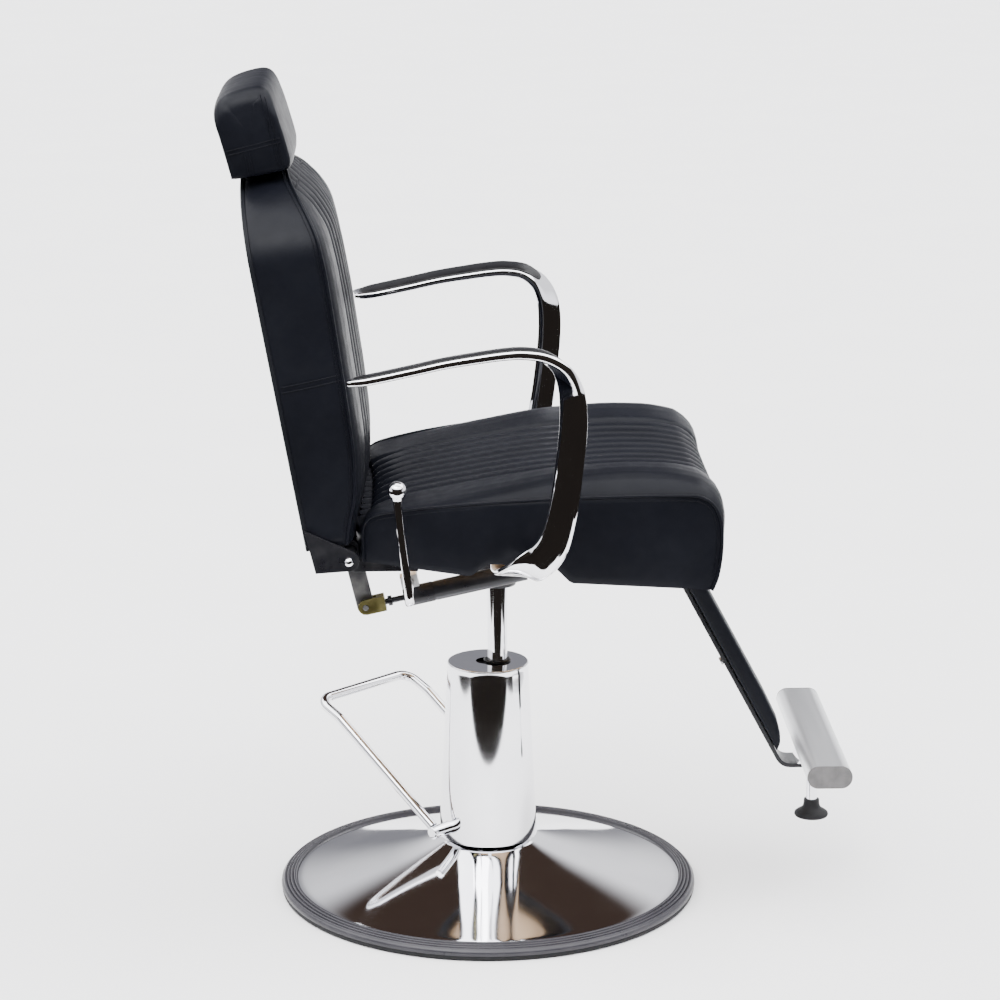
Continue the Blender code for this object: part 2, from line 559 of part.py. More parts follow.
def make_backrest(looks, hinge, tilt):
    around = arc((0, 0), 0.010, 0, 360, 16)
    tube = loft("hinge_tube", [[(x, y, z) for x, z in around] for y in (-0.2353, 0.2353)])
    add("hinge_tube", tube, looks["black_paint"], parent=hinge)
    plate = arc((0, 0), 0.014, 62, -95, 9) + [(-0.0470, -0.0090), (-0.0510, 0.0515)]
    for name, side in (("left", 1), ("right", -1)):
        ys = sorted((side * PLATE_Y, side * (PLATE_Y + 0.005)))
        add(f"side_plate_{name}", across("side_plate", plate, *ys), looks["black_paint"], parent=tilt)
        bolt = [(0.0068, 0), (0.0068, 0.004), (0.0055, 0.0072), (0.0028, 0.0092)]
        add(f"hinge_bolt_{name}", disc_stack("hinge_bolt", bolt, 14), looks["chrome"], parent=hinge,
            place=(0, side * (PLATE_Y + 0.005 + GAP), 0), turn=(-side * math.pi / 2, 0, 0))
    drop = Vector((LEVER_PIN[0] - HINGE_X, LEVER_PIN[1] - HINGE_Z))
    lean = math.degrees(math.atan2(drop.y, drop.x))
    lever = arc((0, 0), 0.014, lean + 120, lean + 240, 8) + arc(tuple(drop), 0.012, lean - 80, lean + 80, 7)
    lever = add("lever_arm", across("lever_arm", lever, LEVER_Y - 0.003, LEVER_Y + 0.003), looks["raw_steel"], parent=hinge)
    cut(lever, [pin_mesh("lever_bore", 0.0103, LEVER_Y - 0.01, LEVER_Y + 0.01),
                pin_mesh("pin_bore", 0.0043, LEVER_Y - 0.01, LEVER_Y + 0.01, *drop, segments=12)])
    add("clevis_pin", pin_mesh("clevis_pin", 0.004, LEVER_Y - 0.0115, LEVER_Y + 0.0115, segments=12), looks["raw_steel"],
        parent=hinge, place=(drop.x, 0, drop.y))

    add("back_board", back_sheet("back_board", -0.0475, BACK_REAR - GAP, 0.006), looks["leather"], parent=tilt)
    add("rear_panel", back_sheet("rear_panel", -0.0530, -0.0478, 0.002), looks["leather"], parent=tilt)
    rings = [back_ring(w, BACK_REAR, back_front(w)) for w in BACK_LEVELS]
    cushion = add("back_cushion", loft("back_cushion", rings), looks["leather"], parent=tilt)
    cut(cushion, [box("sleeve_channel", (-0.05, -0.0228, 0.279), (-0.0182, 0.0228, 0.60))])
    sleeve = box("headrest_sleeve", (-0.0338, -0.0225, 0.284), (-0.0185, 0.0225, 0.499))
    sleeve = add("headrest_sleeve", sleeve, looks["black_paint"], parent=tilt)
    cut(sleeve, [box("sleeve_bore", (-0.0305, -0.0186, 0.25), (-0.0218, 0.0186, 0.55))])


def make_headrest(looks, tilt):
    head = empty("headrest_slide", (0, 0, 0), parent=tilt)
    bar = box("headrest_bar", (-0.0292, -0.0180, 0.314), (-0.0231, 0.0180, 0.612))
    add("headrest_bar", bar, looks["raw_steel"], parent=head)
    levels = ((0.5165, -0.0590, 0.0150, 0.120), (0.5200, -0.0615, 0.0195, 0.127), (0.5300, -0.0625, 0.0205, HEAD_HALF))
    levels += ((0.5700, -0.0655, 0.0170, HEAD_HALF), (0.5970, -0.0685, 0.0145, HEAD_HALF), (0.6130, -0.0655, 0.0120, 0.128))
    levels += ((0.6235, -0.0575, 0.0070, 0.123), (0.6300, -0.0440, -0.0020, 0.112))
    rings = []
    for w, rear, front, half in levels:
        rings.append([(x, y, w) for x, y in rounded((rear, -half), (front, half), 0.016, 3)])
    cushion = add("headrest_cushion", loft("headrest_cushion", rings), looks["leather"], parent=head)
    cut(cushion, [box("bar_pocket", (-0.0296, -0.0184, 0.49), (-0.0227, 0.0184, 0.6124))])


# Recline strut: its tube rides on the backrest's lever, its rod on a lug under the seat
def make_strut(looks):
    pivot = empty("lever_pin_axis", (LEVER_PIN[0], LEVER_Y, LEVER_PIN[1]), turn=(0, -STRUT_RISE, 0))
    clevis = [(x, z) for x, z in arc((0, 0), 0.0105, 90, 270, 7)] + [(0.0275, -0.0105), (0.0275, 0.0105)]
    fork = add("strut_clevis", across("strut_clevis", clevis, -0.0105, 0.0105), looks["zinc"], parent=pivot)
    slot = box("fork_slot", (-0.02, -0.0035, -0.02), (0.0165, 0.0035, 0.02))
    cut(fork, [slot, pin_mesh("fork_bore", 0.0043, -0.02, 0.02, segments=12)])
    along = Matrix.Rotation(math.pi / 2, 4, "Y")
    nut = [(0.0042, 0.0278), (0.0042, 0.0315), (0.0072, 0.0315), (0.0072, 0.0370), (0.0042, 0.0370)]
    nut = disc_stack("lock_nut", [*nut, (0.0042, 0.0537)], 12)
    nut.transform(along)
    add("lock_nut", nut, looks["black_paint"], parent=pivot)
    start, end = STRUT_BODY
    tube = [(0.0105, end), (STRUT_R, end), (STRUT_R, start + 0.001), (STRUT_R - 0.001, start)]
    tube = turned("strut_tube", [*tube, (0, start), (0, 0.100), (0.0105, 0.100)], 20)
    tube.transform(along)
    add("strut_tube", tube, looks["black_paint"], parent=pivot)
    lever_x, lever_z = 0.0665, 0.0219
    block = box("release_block", (lever_x - 0.012, -0.010, STRUT_R + GAP), (lever_x + 0.012, 0.010, 0.0315))
    block = add("release_block", block, looks["aluminium"], parent=pivot)
    cut(block, [pin_mesh("release_bore", 0.0063, -0.03, 0.03, lever_x, lever_z)])

    reach = STRUT_LENGTH
    far = (LEVER_PIN[0] + reach * math.cos(STRUT_RISE), LEVER_PIN[1] + reach * math.sin(STRUT_RISE))
    anchor = empty("strut_lug_axis", (far[0], LEVER_Y, far[1]), turn=(0, -STRUT_RISE, 0))
    eye = arc((0, 0), 0.0090, -150, 150, 12) + [(-0.0190, 0.0038), (-0.132, 0.0038), (-0.132, -0.0038), (-0.0190, -0.0038)]
    eye = add("strut_rod", across("strut_rod", eye, -0.0040, 0.0040), looks["chrome"], parent=anchor)
    cut(eye, [pin_mesh("eye_bore", 0.0043, -0.02, 0.02, segments=12)])
    lug_top = 0.5470 - far[1]
    lug = [(0.0045, -0.0110), (0.0095, -0.0110), (0.0095, 0.0120), (0.0400, 0.0120)]
    lug += [(0.0400, lug_top), (0.0045, lug_top)]
    lug = loft("strut_lug", [[(x, y, z) for y, z in lug] for x in (-0.013, 0.013)])
    seat_side = empty("strut_lug_place", (far[0], LEVER_Y, far[1]))
    lug = add("strut_lug", lug, looks["black_paint"], parent=seat_side)
    cut(lug, [pin_mesh("lug_bore", 0.0043, -0.02, 0.02, segments=12)])
    add("strut_pin", pin_mesh("strut_pin", 0.0040, -0.0060, 0.0120, segments=12), looks["raw_steel"], parent=seat_side)
    return pivot, lever_x, lever_z


def make_release_lever(looks, pivot, lever_x, lever_z):
    """The recline handle: a rod through the release block that bends up beside the seat to a ball."""
    place = pivot.matrix_basis @ Vector((lever_x, 0, lever_z))
    axis = empty("release_axis", place)
    reach = -0.120
    knob = Vector((-0.0160, reach, 0.1560))
    path = tube_path([(0, 0.008, 0), (0, reach, 0), knob - Vector((0, 0, 0.0134))], 0.012)
    bent_rod("lever_rod", path, 0.0058, looks["chrome"], parent=axis)
    ball = [(0.0075, -0.0122), (0.0082, -0.0105), *arc((0, 0), 0.0125, -40, 80, 9)]
    add("lever_knob", disc_stack("lever_knob", ball, 20), looks["chrome"], parent=axis, place=knob)


def main():
    for old in list(bpy.data.objects):
        bpy.data.objects.remove(old, do_unlink=True)
    looks = {
        "leather": material("black_leather", (0.018, 0.018, 0.021), 0.42),
        "chrome": material("chrome", (0.86, 0.86, 0.88), 0.06, 1),
        "black_paint": material("black_paint", (0.012, 0.012, 0.014), 0.32),
        "steel": material("steel", (0.42, 0.42, 0.43), 0.35, 1),
        "raw_steel": material("raw_steel", (0.20, 0.20, 0.21), 0.48, 0.9),
        "zinc": material("yellow_zinc", (0.46, 0.40, 0.16), 0.38, 0.9),
        "rubber": material("black_rubber", (0.015, 0.015, 0.016), 0.60),
        "trim": material("grey_trim", (0.42, 0.41, 0.44), 0.30),
        "aluminium": material("aluminium", (0.72, 0.73, 0.74), 0.24, 1),
        "grey_plastic": material("grey_plastic", (0.22, 0.21, 0.21), 0.45),
        "black_plastic": material("black_plastic", (0.020, 0.020, 0.022), 0.38),
        "wood": material("plywood", (0.52, 0.38, 0.24), 0.60),
    }
    make_base(looks)
    make_pump_moving(looks)
    turntable = empty("seat_swivel", (COLUMN_X, 0, 0))
    make_seat(looks, turntable)
    make_arms(looks)
    make_footrest(looks)
    hinge = empty("backrest_hinge", (HINGE_X, 0, HINGE_Z))
    tilt = empty("backrest_lean", (0, 0, 0), parent=hinge, turn=(0, -BACK_TILT, 0))
    make_backrest(looks, hinge, tilt)
    make_headrest(looks, tilt)
    pivot, lever_x, lever_z = make_strut(looks)
    make_release_lever(looks, pivot, lever_x, lever_z)


main()
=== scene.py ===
"""Hydraulic barber chair: the visual model, its materials and a plain studio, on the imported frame."""

import json
import math

import bmesh
import bpy
import numpy as np
from mathutils import Matrix, Vector


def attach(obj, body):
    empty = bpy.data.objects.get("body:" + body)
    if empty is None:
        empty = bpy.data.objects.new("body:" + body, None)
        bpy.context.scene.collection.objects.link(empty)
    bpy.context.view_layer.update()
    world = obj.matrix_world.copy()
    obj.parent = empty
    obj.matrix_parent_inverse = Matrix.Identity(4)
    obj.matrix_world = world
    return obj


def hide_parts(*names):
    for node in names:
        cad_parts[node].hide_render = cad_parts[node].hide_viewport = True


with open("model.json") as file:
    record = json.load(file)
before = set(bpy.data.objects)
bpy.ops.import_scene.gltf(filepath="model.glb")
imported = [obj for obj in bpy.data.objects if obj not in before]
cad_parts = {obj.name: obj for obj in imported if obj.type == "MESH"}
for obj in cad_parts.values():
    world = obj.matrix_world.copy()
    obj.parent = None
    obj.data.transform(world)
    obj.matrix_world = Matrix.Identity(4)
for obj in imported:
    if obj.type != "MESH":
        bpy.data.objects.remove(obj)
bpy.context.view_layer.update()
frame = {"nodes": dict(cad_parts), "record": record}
NODES = frame["nodes"]
scene = bpy.context.scene

HINGE = Vector((-0.193, 0, 0.552))
LEAN = math.radians(10.2)
BACK_FRAME = Matrix.Translation(HINGE) @ Matrix.Rotation(-LEAN, 4, "Y")
COLUMN_X = 0.0135
STRUT_EYE = (-0.172, -0.15, 0.464)
STRUT_RISE = math.radians(12.5)
SIDES = (("left", 1), ("right", -1))

# The back and headrest, in the backrest's leaning frame
BACK_HALF, BACK_KNEE, BACK_MIDDLE = 0.235, 0.40, (0, 0, 0.26)
BOARD_REAR, COVER_REAR = -0.0476, -0.0520
HEAD_HALF, HEAD_BULGE = 0.1345, 0.0035

# Radii of piping and thread, and the distances within which mesh points are joined
SEAT_PIPE, BACK_PIPE, COVER_PIPE, THREAD = 0.0021, 0.0020, 0.0022, 0.0006
SEAM_WELD, FINE_WELD = 0.00002, 1e-6


# Materials: each is a Principled shader driven by procedural noise
def new_material(name, metallic=0.0, **sockets):
    made = bpy.data.materials.new(name)
    made.use_nodes = True
    shader = made.node_tree.nodes["Principled BSDF"]
    shader.inputs["Metallic"].default_value = metallic
    for key, value in sockets.items():
        shader.inputs[key.replace("_", " ")].default_value = value
    coords = made.node_tree.nodes.new("ShaderNodeTexCoord")
    return made, shader, coords.outputs["Object"]


def noise(made, coords, scale, detail=4.0, stretch=(1, 1, 1)):
    nodes, links = made.node_tree.nodes, made.node_tree.links
    mapping = nodes.new("ShaderNodeMapping")
    mapping.inputs["Scale"].default_value = stretch
    links.new(coords, mapping.inputs["Vector"])
    texture = nodes.new("ShaderNodeTexNoise")
    texture.inputs["Scale"].default_value = scale
    texture.inputs["Detail"].default_value = detail
    links.new(mapping.outputs["Vector"], texture.inputs["Vector"])
    return texture.outputs["Fac"]


def ramp(made, value, stops):
    """A colour ramp of (position, colour) stops, colours as grey numbers or triples."""
    node = made.node_tree.nodes.new("ShaderNodeValToRGB")
    made.node_tree.links.new(value, node.inputs["Fac"])
    while len(node.color_ramp.elements) < len(stops):
        node.color_ramp.elements.new(0.5)
    for element, (position, colour) in zip(node.color_ramp.elements, stops):
        element.position = position
        element.color = (*((colour,) * 3 if isinstance(colour, (int, float)) else colour), 1)
    return node.outputs["Color"]


def bump(made, shader, height, strength, distance, under=None):
    node = made.node_tree.nodes.new("ShaderNodeBump")
    node.inputs["Strength"].default_value = strength
    node.inputs["Distance"].default_value = distance
    made.node_tree.links.new(height, node.inputs["Height"])
    if under:
        made.node_tree.links.new(under, node.inputs["Normal"])
    made.node_tree.links.new(node.outputs["Normal"], shader.inputs["Normal"])
    return node.outputs["Normal"]


def finish_of(
    name, dark, light, rough, metallic=0.0, scale=40.0, stretch=(1, 1, 1), grain=0.15, depth=0.0002,
    **sockets
):
    """Colour and roughness vary with a soft noise, and a finer noise gives the grain."""
    made, shader, coords = new_material(name, metallic, **sockets)
    links = made.node_tree.links
    soft = noise(made, coords, scale, 4, stretch)
    links.new(ramp(made, soft, [(0.35, dark), (0.65, light)]), shader.inputs["Base Color"])
    links.new(ramp(made, soft, [(0.3, rough[0]), (0.7, rough[1])]), shader.inputs["Roughness"])
    bump(made, shader, noise(made, coords, scale * 12, 3, stretch), grain, depth)
    return made


def leather(name, dark, light, rough):
    """Coated leather: a grain of small cells over a slow unevenness, with a varied sheen."""
    made, shader, coords = new_material(name, 0.0, Specular_IOR_Level=0.10)
    nodes, links = made.node_tree.nodes, made.node_tree.links
    soft = noise(made, coords, 9, 3)
    links.new(ramp(made, soft, [(0.3, dark), (0.7, light)]), shader.inputs["Base Color"])
    cells = nodes.new("ShaderNodeTexVoronoi")
    cells.feature = "DISTANCE_TO_EDGE"
    cells.inputs["Scale"].default_value = 620
    links.new(coords, cells.inputs["Vector"])
    pebble = ramp(made, cells.outputs["Distance"], [(0.0, 0.0), (0.16, 1.0)])
    links.new(
        ramp(made, noise(made, coords, 60, 5), [(0.3, rough[0]), (0.7, rough[1])]),
        shader.inputs["Roughness"]
    )
    slow = bump(made, shader, noise(made, coords, 26, 3), 0.12, 0.0008)
    bump(made, shader, pebble, 0.22, 0.00018, slow)
    return made


LEATHER = leather("leather", (0.0030, 0.0034, 0.0056), (0.0050, 0.0056, 0.0086), (0.36, 0.46))
LEATHER_REAR = leather("leather_rear", (0.005, 0.0055, 0.0075), (0.008, 0.0085, 0.011), (0.40, 0.52))
CHROME = finish_of(
    "chrome", (0.80, 0.80, 0.83), (0.86, 0.86, 0.88), (0.035, 0.075), 1, 14, grain=0.012, depth=0.00004
)
PAINT = finish_of(
    "black_paint", (0.006, 0.006, 0.008), (0.012, 0.012, 0.014), (0.26, 0.38), 0, 60, grain=0.10,
    Specular_IOR_Level=0.25
)
STEEL = finish_of("steel", (0.36, 0.36, 0.37), (0.50, 0.50, 0.51), (0.28, 0.42), 1, 50, (1, 1, 6))
RAW = finish_of(
    "raw_steel", (0.10, 0.10, 0.105), (0.20, 0.195, 0.19), (0.36, 0.55), 0.9, 45, (1, 6, 1), 0.3
)
ZINC = finish_of("yellow_zinc", (0.15, 0.13, 0.045), (0.27, 0.24, 0.10), (0.30, 0.48), 0.95, 55)
RUBBER = finish_of(
    "rubber", (0.006, 0.006, 0.007), (0.012, 0.012, 0.013), (0.50, 0.66), 0, 80, grain=0.3,
    Specular_IOR_Level=0.2
)
TRIM = finish_of(
    "grey_trim", (0.020, 0.019, 0.024), (0.030, 0.028, 0.034), (0.26, 0.36), 0.0, 30,
    Specular_IOR_Level=0.35
)
ALUMINIUM = finish_of(
    "aluminium", (0.82, 0.83, 0.84), (0.90, 0.91, 0.92), (0.36, 0.46), 1, 30, (1, 0.06, 1), 0.12
)
GREY = finish_of(
    "grey_plastic", (0.085, 0.082, 0.082), (0.12, 0.115, 0.115), (0.40, 0.52), 0, 70, grain=0.25
)
PAD = finish_of(
    "pad_plastic", (0.0035, 0.0035, 0.0045), (0.0065, 0.0062, 0.0072), (0.26, 0.36), 0, 70, grain=0.22,
    depth=0.00012, Specular_IOR_Level=0.2
)
WOOD = finish_of("plywood", (0.42, 0.28, 0.16), (0.58, 0.42, 0.27), (0.50, 0.65), 0, 10, (1, 8, 8), 0.25)


# Meshes
def made_object(name, mesh, look, body, crease=40, replaces=(), slot=None, place=None):
    made = bpy.data.objects.new(name, mesh)
    scene.collection.objects.link(made)
    mesh.materials.append(look)
    if place:
        mesh.transform(place)
    mesh.shade_smooth()
    mesh.set_sharp_from_angle(angle=math.radians(crease))
    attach(made, body)
    if replaces:
        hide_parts(*replaces)
    return made


def grid_mesh(name, grids, weld=0.00005, caps=()):
    """Quads over grids of rows of points and n-gons over cap loops, welded and facing out."""
    points, faces = [], []
    for rows in grids:
        first, wide = len(points), len(rows[0])
        points += [tuple(map(float, p)) for row in rows for p in row]
        for i in range(len(rows) - 1):
            for j in range(wide - 1):
                a = first + i * wide + j
                faces.append((a, a + 1, a + wide + 1, a + wide))
    for loop in caps:
        faces.append(tuple(range(len(points), len(points) + len(loop))))
        points += [tuple(map(float, p)) for p in loop]
    mesh = bpy.data.meshes.new(name)
    mesh.from_pydata(points, [], faces)
    shape = bmesh.new()
    shape.from_mesh(mesh)
    bmesh.ops.remove_doubles(shape, verts=shape.verts, dist=weld)
    bmesh.ops.recalc_face_normals(shape, faces=shape.faces)
    shape.to_mesh(mesh)
    shape.free()
    return mesh


def looped(rings):
    """Each ring with its first point again at its end."""
    return [[*ring, ring[0]] for ring in rings]


def spline(points, steps, closed=False):
    """A Catmull-Rom curve through rows of numbers, with steps to each span."""
    p = np.array(points, float)
    before, after = ([p[-1]], [p[0], p[1]]) if closed else ([2 * p[0] - p[1]], [2 * p[-1] - p[-2]])
    ends = np.vstack([*before, p, *after])
    fine = []
    for k in range(1, len(ends) - 2):
        a, b, c, d = ends[k - 1 : k + 3]
        bend, turn = 2 * a - 5 * b + 4 * c - d, 3 * (b - c) + d - a
        for t in np.arange(steps) / steps:
            fine.append(b + 0.5 * t * (c - a + t * (bend + t * turn)))
    return np.array(fine + [ends[-2]])


def curve_through(points, count, closed=False):
    """A smooth curve through points, read at even steps along its length."""
    fine = spline(points, 24, closed)
    length = np.concatenate([[0], np.cumsum(np.linalg.norm(np.diff(fine, axis=0), axis=1))])
    wanted = np.linspace(0, length[-1], count + closed)[:count]
    return np.stack([np.interp(wanted, length, fine[:, k]) for k in range(fine.shape[1])], 1)


def left_of(along):
    """Unit normals to the left of a plane curve's directions."""
    return np.stack([-along[:, 1], along[:, 0]], 1) / np.linalg.norm(along, axis=1)[:, None]


def smoothed(values, reach):
    """A running mean over reach values to each side."""
    wide = 2 * reach + 1
    return np.convolve(np.pad(values, reach, "edge"), np.ones(wide) / wide, "valid")


def eased(start, knee, end, straight, curved):
    """Even steps from start to knee, then steps that shorten toward end."""
    late = np.sin(np.linspace(0, math.pi / 2, curved)[1:])
    return np.concatenate([np.linspace(start, knee, straight), knee + (end - knee) * late])


def turned(name, profile, look, body, segments=128, centre=(0, 0, 0), ring=False, **rest):
    """A profile of (radius, height) turned round Z: a ring, or a solid that ends on the axis."""
    profile = [tuple(p) for p in profile]
    x, y, z = centre
    angles = np.linspace(0, 2 * math.pi, segments + 1)
    rows = []
    for radius, height in profile + (profile[:1] if ring else []):
        rows.append([(x + radius * math.cos(a), y + radius * math.sin(a), z + height) for a in angles])
    return made_object(name, grid_mesh(name, [rows]), look, body, **rest)


def cord_along(name, points, radius, look, body, sides=8, closed=False, **rest):
    """A thin round cord, such as piping, along a line of points."""
    p = np.array(points, float)
    n = len(p)
    angles = np.linspace(0, 2 * math.pi, sides + 1)
    rows, side = [], None
    for i in range(n):
        ahead, behind = (p[(i + 1) % n], p[i - 1]) if closed else (p[min(i + 1, n - 1)], p[max(i - 1, 0)])
        along = (ahead - behind) / np.linalg.norm(ahead - behind)
        if side is None:
            side = np.cross(along, (0.3, 0.2, 1) if abs(along[2]) < 0.9 else (1, 0.1, 0))
        side = side - along * (side @ along)
        side /= np.linalg.norm(side)
        up = np.cross(along, side)
        rows.append([p[i] + radius * (math.cos(a) * side + math.sin(a) * up) for a in angles])
    caps = () if closed else (rows[0][:-1], rows[-1][:-1])
    if closed:
        rows.append(rows[0])
    return made_object(name, grid_mesh(name, [rows], FINE_WELD, caps), look, body, 60, **rest)


def prism(name, outline, y0, y1, look, body, edge=0.001, steps=3, **rest):
    """An outline in XZ extruded along Y, with rounded edges."""
    outline = [(float(x), float(z)) for x, z in outline]
    sides = [[(x, y, z) for x, z in outline] for y in (y0, y1)]
    mesh = grid_mesh(name, [looped(sides)], FINE_WELD, sides)
    made = made_object(name, mesh, look, body, **rest)
    if edge:
        bevel = made.modifiers.new("edge", "BEVEL")
        bevel.width, bevel.segments = edge, steps
        bevel.limit_method, bevel.angle_limit = "ANGLE", math.radians(35)
        bevel.harden_normals = True
    return made


def arc(centre, radius, start, end, count):
    return [
        (centre[0] + radius * math.cos(math.radians(a)), centre[1] + radius * math.sin(math.radians(a)))
        for a in np.linspace(start, end, count)
    ]


# CAD nodes that keep their shape: welded, with softened edges and the finish of their slot
LOOKS = {
    "black_leather": LEATHER, "chrome": CHROME, "black_paint": PAINT, "steel": STEEL,
    "raw_steel": RAW, "yellow_zinc": ZINC, "black_rubber": RUBBER, "grey_trim": TRIM,
    "aluminium": ALUMINIUM, "grey_plastic": GREY, "black_plastic": PAD, "plywood": WOOD,
}
for part in frame["record"]["subparts"]:
    node = NODES[part["node"]]
    node.data.materials.clear()
    node.data.materials.append(LOOKS[part["material_slot"]])
    node.data.polygons.foreach_set("use_smooth", [True] * len(node.data.polygons))
    weld = node.modifiers.new("weld", "WELD")
    weld.merge_threshold = SEAM_WELD
    if node.name not in ("pump_body", "cone_cover", "seat_cushion", "back_cushion"):
        bevel = node.modifiers.new("edge", "BEVEL")
        bevel.width, bevel.segments = 0.0005, 2
        bevel.limit_method, bevel.angle_limit = "ANGLE", math.radians(40)
        bevel.use_clamp_overlap = True
    smooth = node.modifiers.new("normals", "WEIGHTED_NORMAL")
    smooth.keep_sharp = True


# Channels and crowns shared by the cushions
CHANNEL, CHANNELS = 0.033, 8


def channel_depth(y, depth):
    """Round ridges between sewn valleys, and a valley's edge where the smooth bolsters start."""
    y = np.abs(y)
    edge = CHANNEL * CHANNELS / 2
    across = np.abs((y / CHANNEL) % 1 * 2 - 1)
    ridges = depth * np.sqrt(np.clip(1 - across**2.2, 0, 1))
    bolster = depth * (1 - np.exp(-(y - edge) / 0.0035))
    return np.where(y < edge, ridges, bolster) - depth


def columns(half):
    """Places across a cushion: sixteen to a channel, then on over the bolsters."""
    edge = CHANNEL * CHANNELS / 2
    if half < edge + 0.012:
        return np.linspace(-half, half, CHANNELS * 16 + 61)
    outer = edge + (half - edge) * np.linspace(0, 1, 31)[1:]
    return np.concatenate([-outer[::-1], np.linspace(-edge, edge, CHANNELS * 16 + 1), outer])


def coons(left, right, bottom, top):
    """A patch between four edges. left and right run up, bottom and top run along."""
    left, right, bottom, top = (np.array(edge, float) for edge in (left, right, bottom, top))
    u = np.linspace(0, 1, len(bottom))[None, :, None]
    v = np.linspace(0, 1, len(left))[:, None, None]
    ruled = (1 - v) * bottom[None] + v * top[None] + (1 - u) * left[:, None] + u * right[:, None]
    corners = (1 - v) * ((1 - u) * bottom[0] + u * bottom[-1]) + v * ((1 - u) * top[0] + u * top[-1])
    return ruled - corners


# Seat cushion
def seat_half(x):
    share = np.clip((np.asarray(x, float) + 0.174) / 0.24, 0, 1)
    return 0.2125 + 0.0375 * np.sin(share * math.pi / 2)


def on_side(points, side):
    """Points of the seat's outline, laid on one of its sides."""
    return [(x, side * float(seat_half(x)), z) for x, z in points]


def build_seat():
    rear = [(-0.1725, 0.5445), (-0.1740, 0.560), (-0.1740, 0.582), (-0.1715, 0.5955), (-0.1640, 0.6050)]
    top = [
        (-0.1640, 0.6050), (-0.148, 0.6115), (-0.110, 0.6190), (-0.070, 0.6250), (0.0, 0.6325),
        (0.085, 0.6375), (0.19, 0.6405), (0.262, 0.6405), (0.280, 0.6375)
    ]
    front = [
        (0.280, 0.6375), (0.2935, 0.6285), (0.3015, 0.6140), (0.3055, 0.5960), (0.3060, 0.5720),
        (0.3040, 0.5480), (0.3000, 0.5270), (0.2935, 0.5105)
    ]
    whole = curve_through(rear[:-1] + top[:-1] + front, 400)
    split = [int(np.argmin(np.hypot(whole[:, 0] - x, whole[:, 1] - z))) for x, z in (rear[-1], front[0])]
    rear, top, front = (
        curve_through(part, n)
        for part, n in (
            (whole[: split[0] + 1], 20), (whole[split[0] : split[1] + 1], 84), (whole[split[1] :], 20)
        )
    )
    outline = np.vstack([rear[:-1], top[:-1], front])
    along = np.gradient(outline, axis=0)
    normal = left_of(along)
    crown = np.interp(
        outline[:, 0], (-0.166, -0.140, -0.070, 0.0, 0.085, 0.180, 0.250, 0.285),
        (0.000, 0.000, 0.005, 0.013, 0.025, 0.030, 0.027, 0.017)
    )
    low = outline[:, 1] < 0.62
    at_front = outline[:, 0] > 0.20
    crown = np.where(
        low & at_front, np.interp(outline[:, 1], (0.51, 0.55, 0.60, 0.63), (0.002, 0.004, 0.0075, 0.013)),
        crown
    )
    crown = np.where(low & ~at_front & (outline[:, 0] < -0.15), 0.009, crown)
    crown = smoothed(crown, 4)
    rows = []
    for (x, z), (nx, nz), c in zip(outline, normal, crown):
        half = seat_half(x)
        y = columns(half)
        shares = y / half
        lift = np.interp(
            np.abs(shares), (0, 0.3, 0.5, 0.60, 0.70, 0.80, 0.88, 0.94, 0.975, 1),
            (0.60, 0.62, 0.68, 0.82, 0.96, 1.0, 0.90, 0.66, 0.38, 0)
        )
        fade = np.clip(1.15 - np.abs(shares) ** 8, 0, 1)
        roll = -0.016 * np.clip((-0.118 - x) / 0.056, 0, 1) ** 1.5 * (1 - np.abs(shares) ** 4) * (z > 0.59)
        h = c * lift + channel_depth(y, 0.0086) * fade * np.clip(c / 0.004, 0.35, 1) + roll
        rows.append(np.stack([x + nx * h, y, z + nz * h], 1))
    grids = [rows]
    spread = curve_through(top, len(top))[:, 0]
    bottom_x = np.interp(spread, (spread[0], spread[-1]), (rear[0, 0], front[-1, 0]))
    bottom_z = np.interp(
        bottom_x, (-0.1725, -0.118, -0.030, -0.008, 0.056, 0.083, 0.104, 0.2935),
        (0.5445, 0.539, 0.5305, 0.5475, 0.5475, 0.543, 0.5215, 0.5105)
    )
    loops = []
    for side in (-1, 1):
        edges = (rear, front[::-1], list(zip(bottom_x, bottom_z)), top)
        patch = coons(*(on_side(edge, side) for edge in edges))
        v, u = np.meshgrid(
            np.linspace(0, 1, patch.shape[0]), np.linspace(0, 1, patch.shape[1]), indexing="ij"
        )
        patch[..., 1] += side * 0.0062 * (np.sin(math.pi * u) * np.sin(math.pi * v)) ** 0.5
        grids.append(list(patch))
        loops.append(patch[0])
    rim = [*rows[0], *loops[1][1:-1], *rows[-1][::-1], *loops[0][1:-1][::-1]]
    rim = np.array([tuple(map(float, p)) for p in rim])
    inner = rim.copy()
    inner[:, 0] = np.clip(inner[:, 0], -0.157, 0.277)
    half = seat_half(inner[:, 0]) - 0.014
    inner[:, 1] = np.clip(inner[:, 1], -half, half)
    up = inner.copy()
    up[:, 2] = 0.5606
    grids.append(looped((rim, inner, up)))
    seat = made_object(
        "seat_pad", grid_mesh("seat_pad", grids, SEAM_WELD, [up]), LEATHER, "seat", 50, ("seat_cushion",),
        "black_leather"
    )
    for name, side in SIDES:
        line = [
            (x + nx * 0.0006, side * (float(seat_half(x)) + 0.0010), z + nz * 0.0006)
            for (x, z), (nx, nz) in zip(outline, normal)
        ]
        cord_along(f"seat_piping_{name}", line, SEAT_PIPE, LEATHER, "seat", slot="black_leather")
        line = [
            (x - nx * 0.0062, side * (float(seat_half(x)) + 0.0020), z - nz * 0.0062)
            for (x, z), (nx, nz) in zip(outline, normal)
        ]
        cord_along(f"seat_topstitch_{name}", line[3:-3], THREAD, LEATHER, "seat", slot="black_leather")


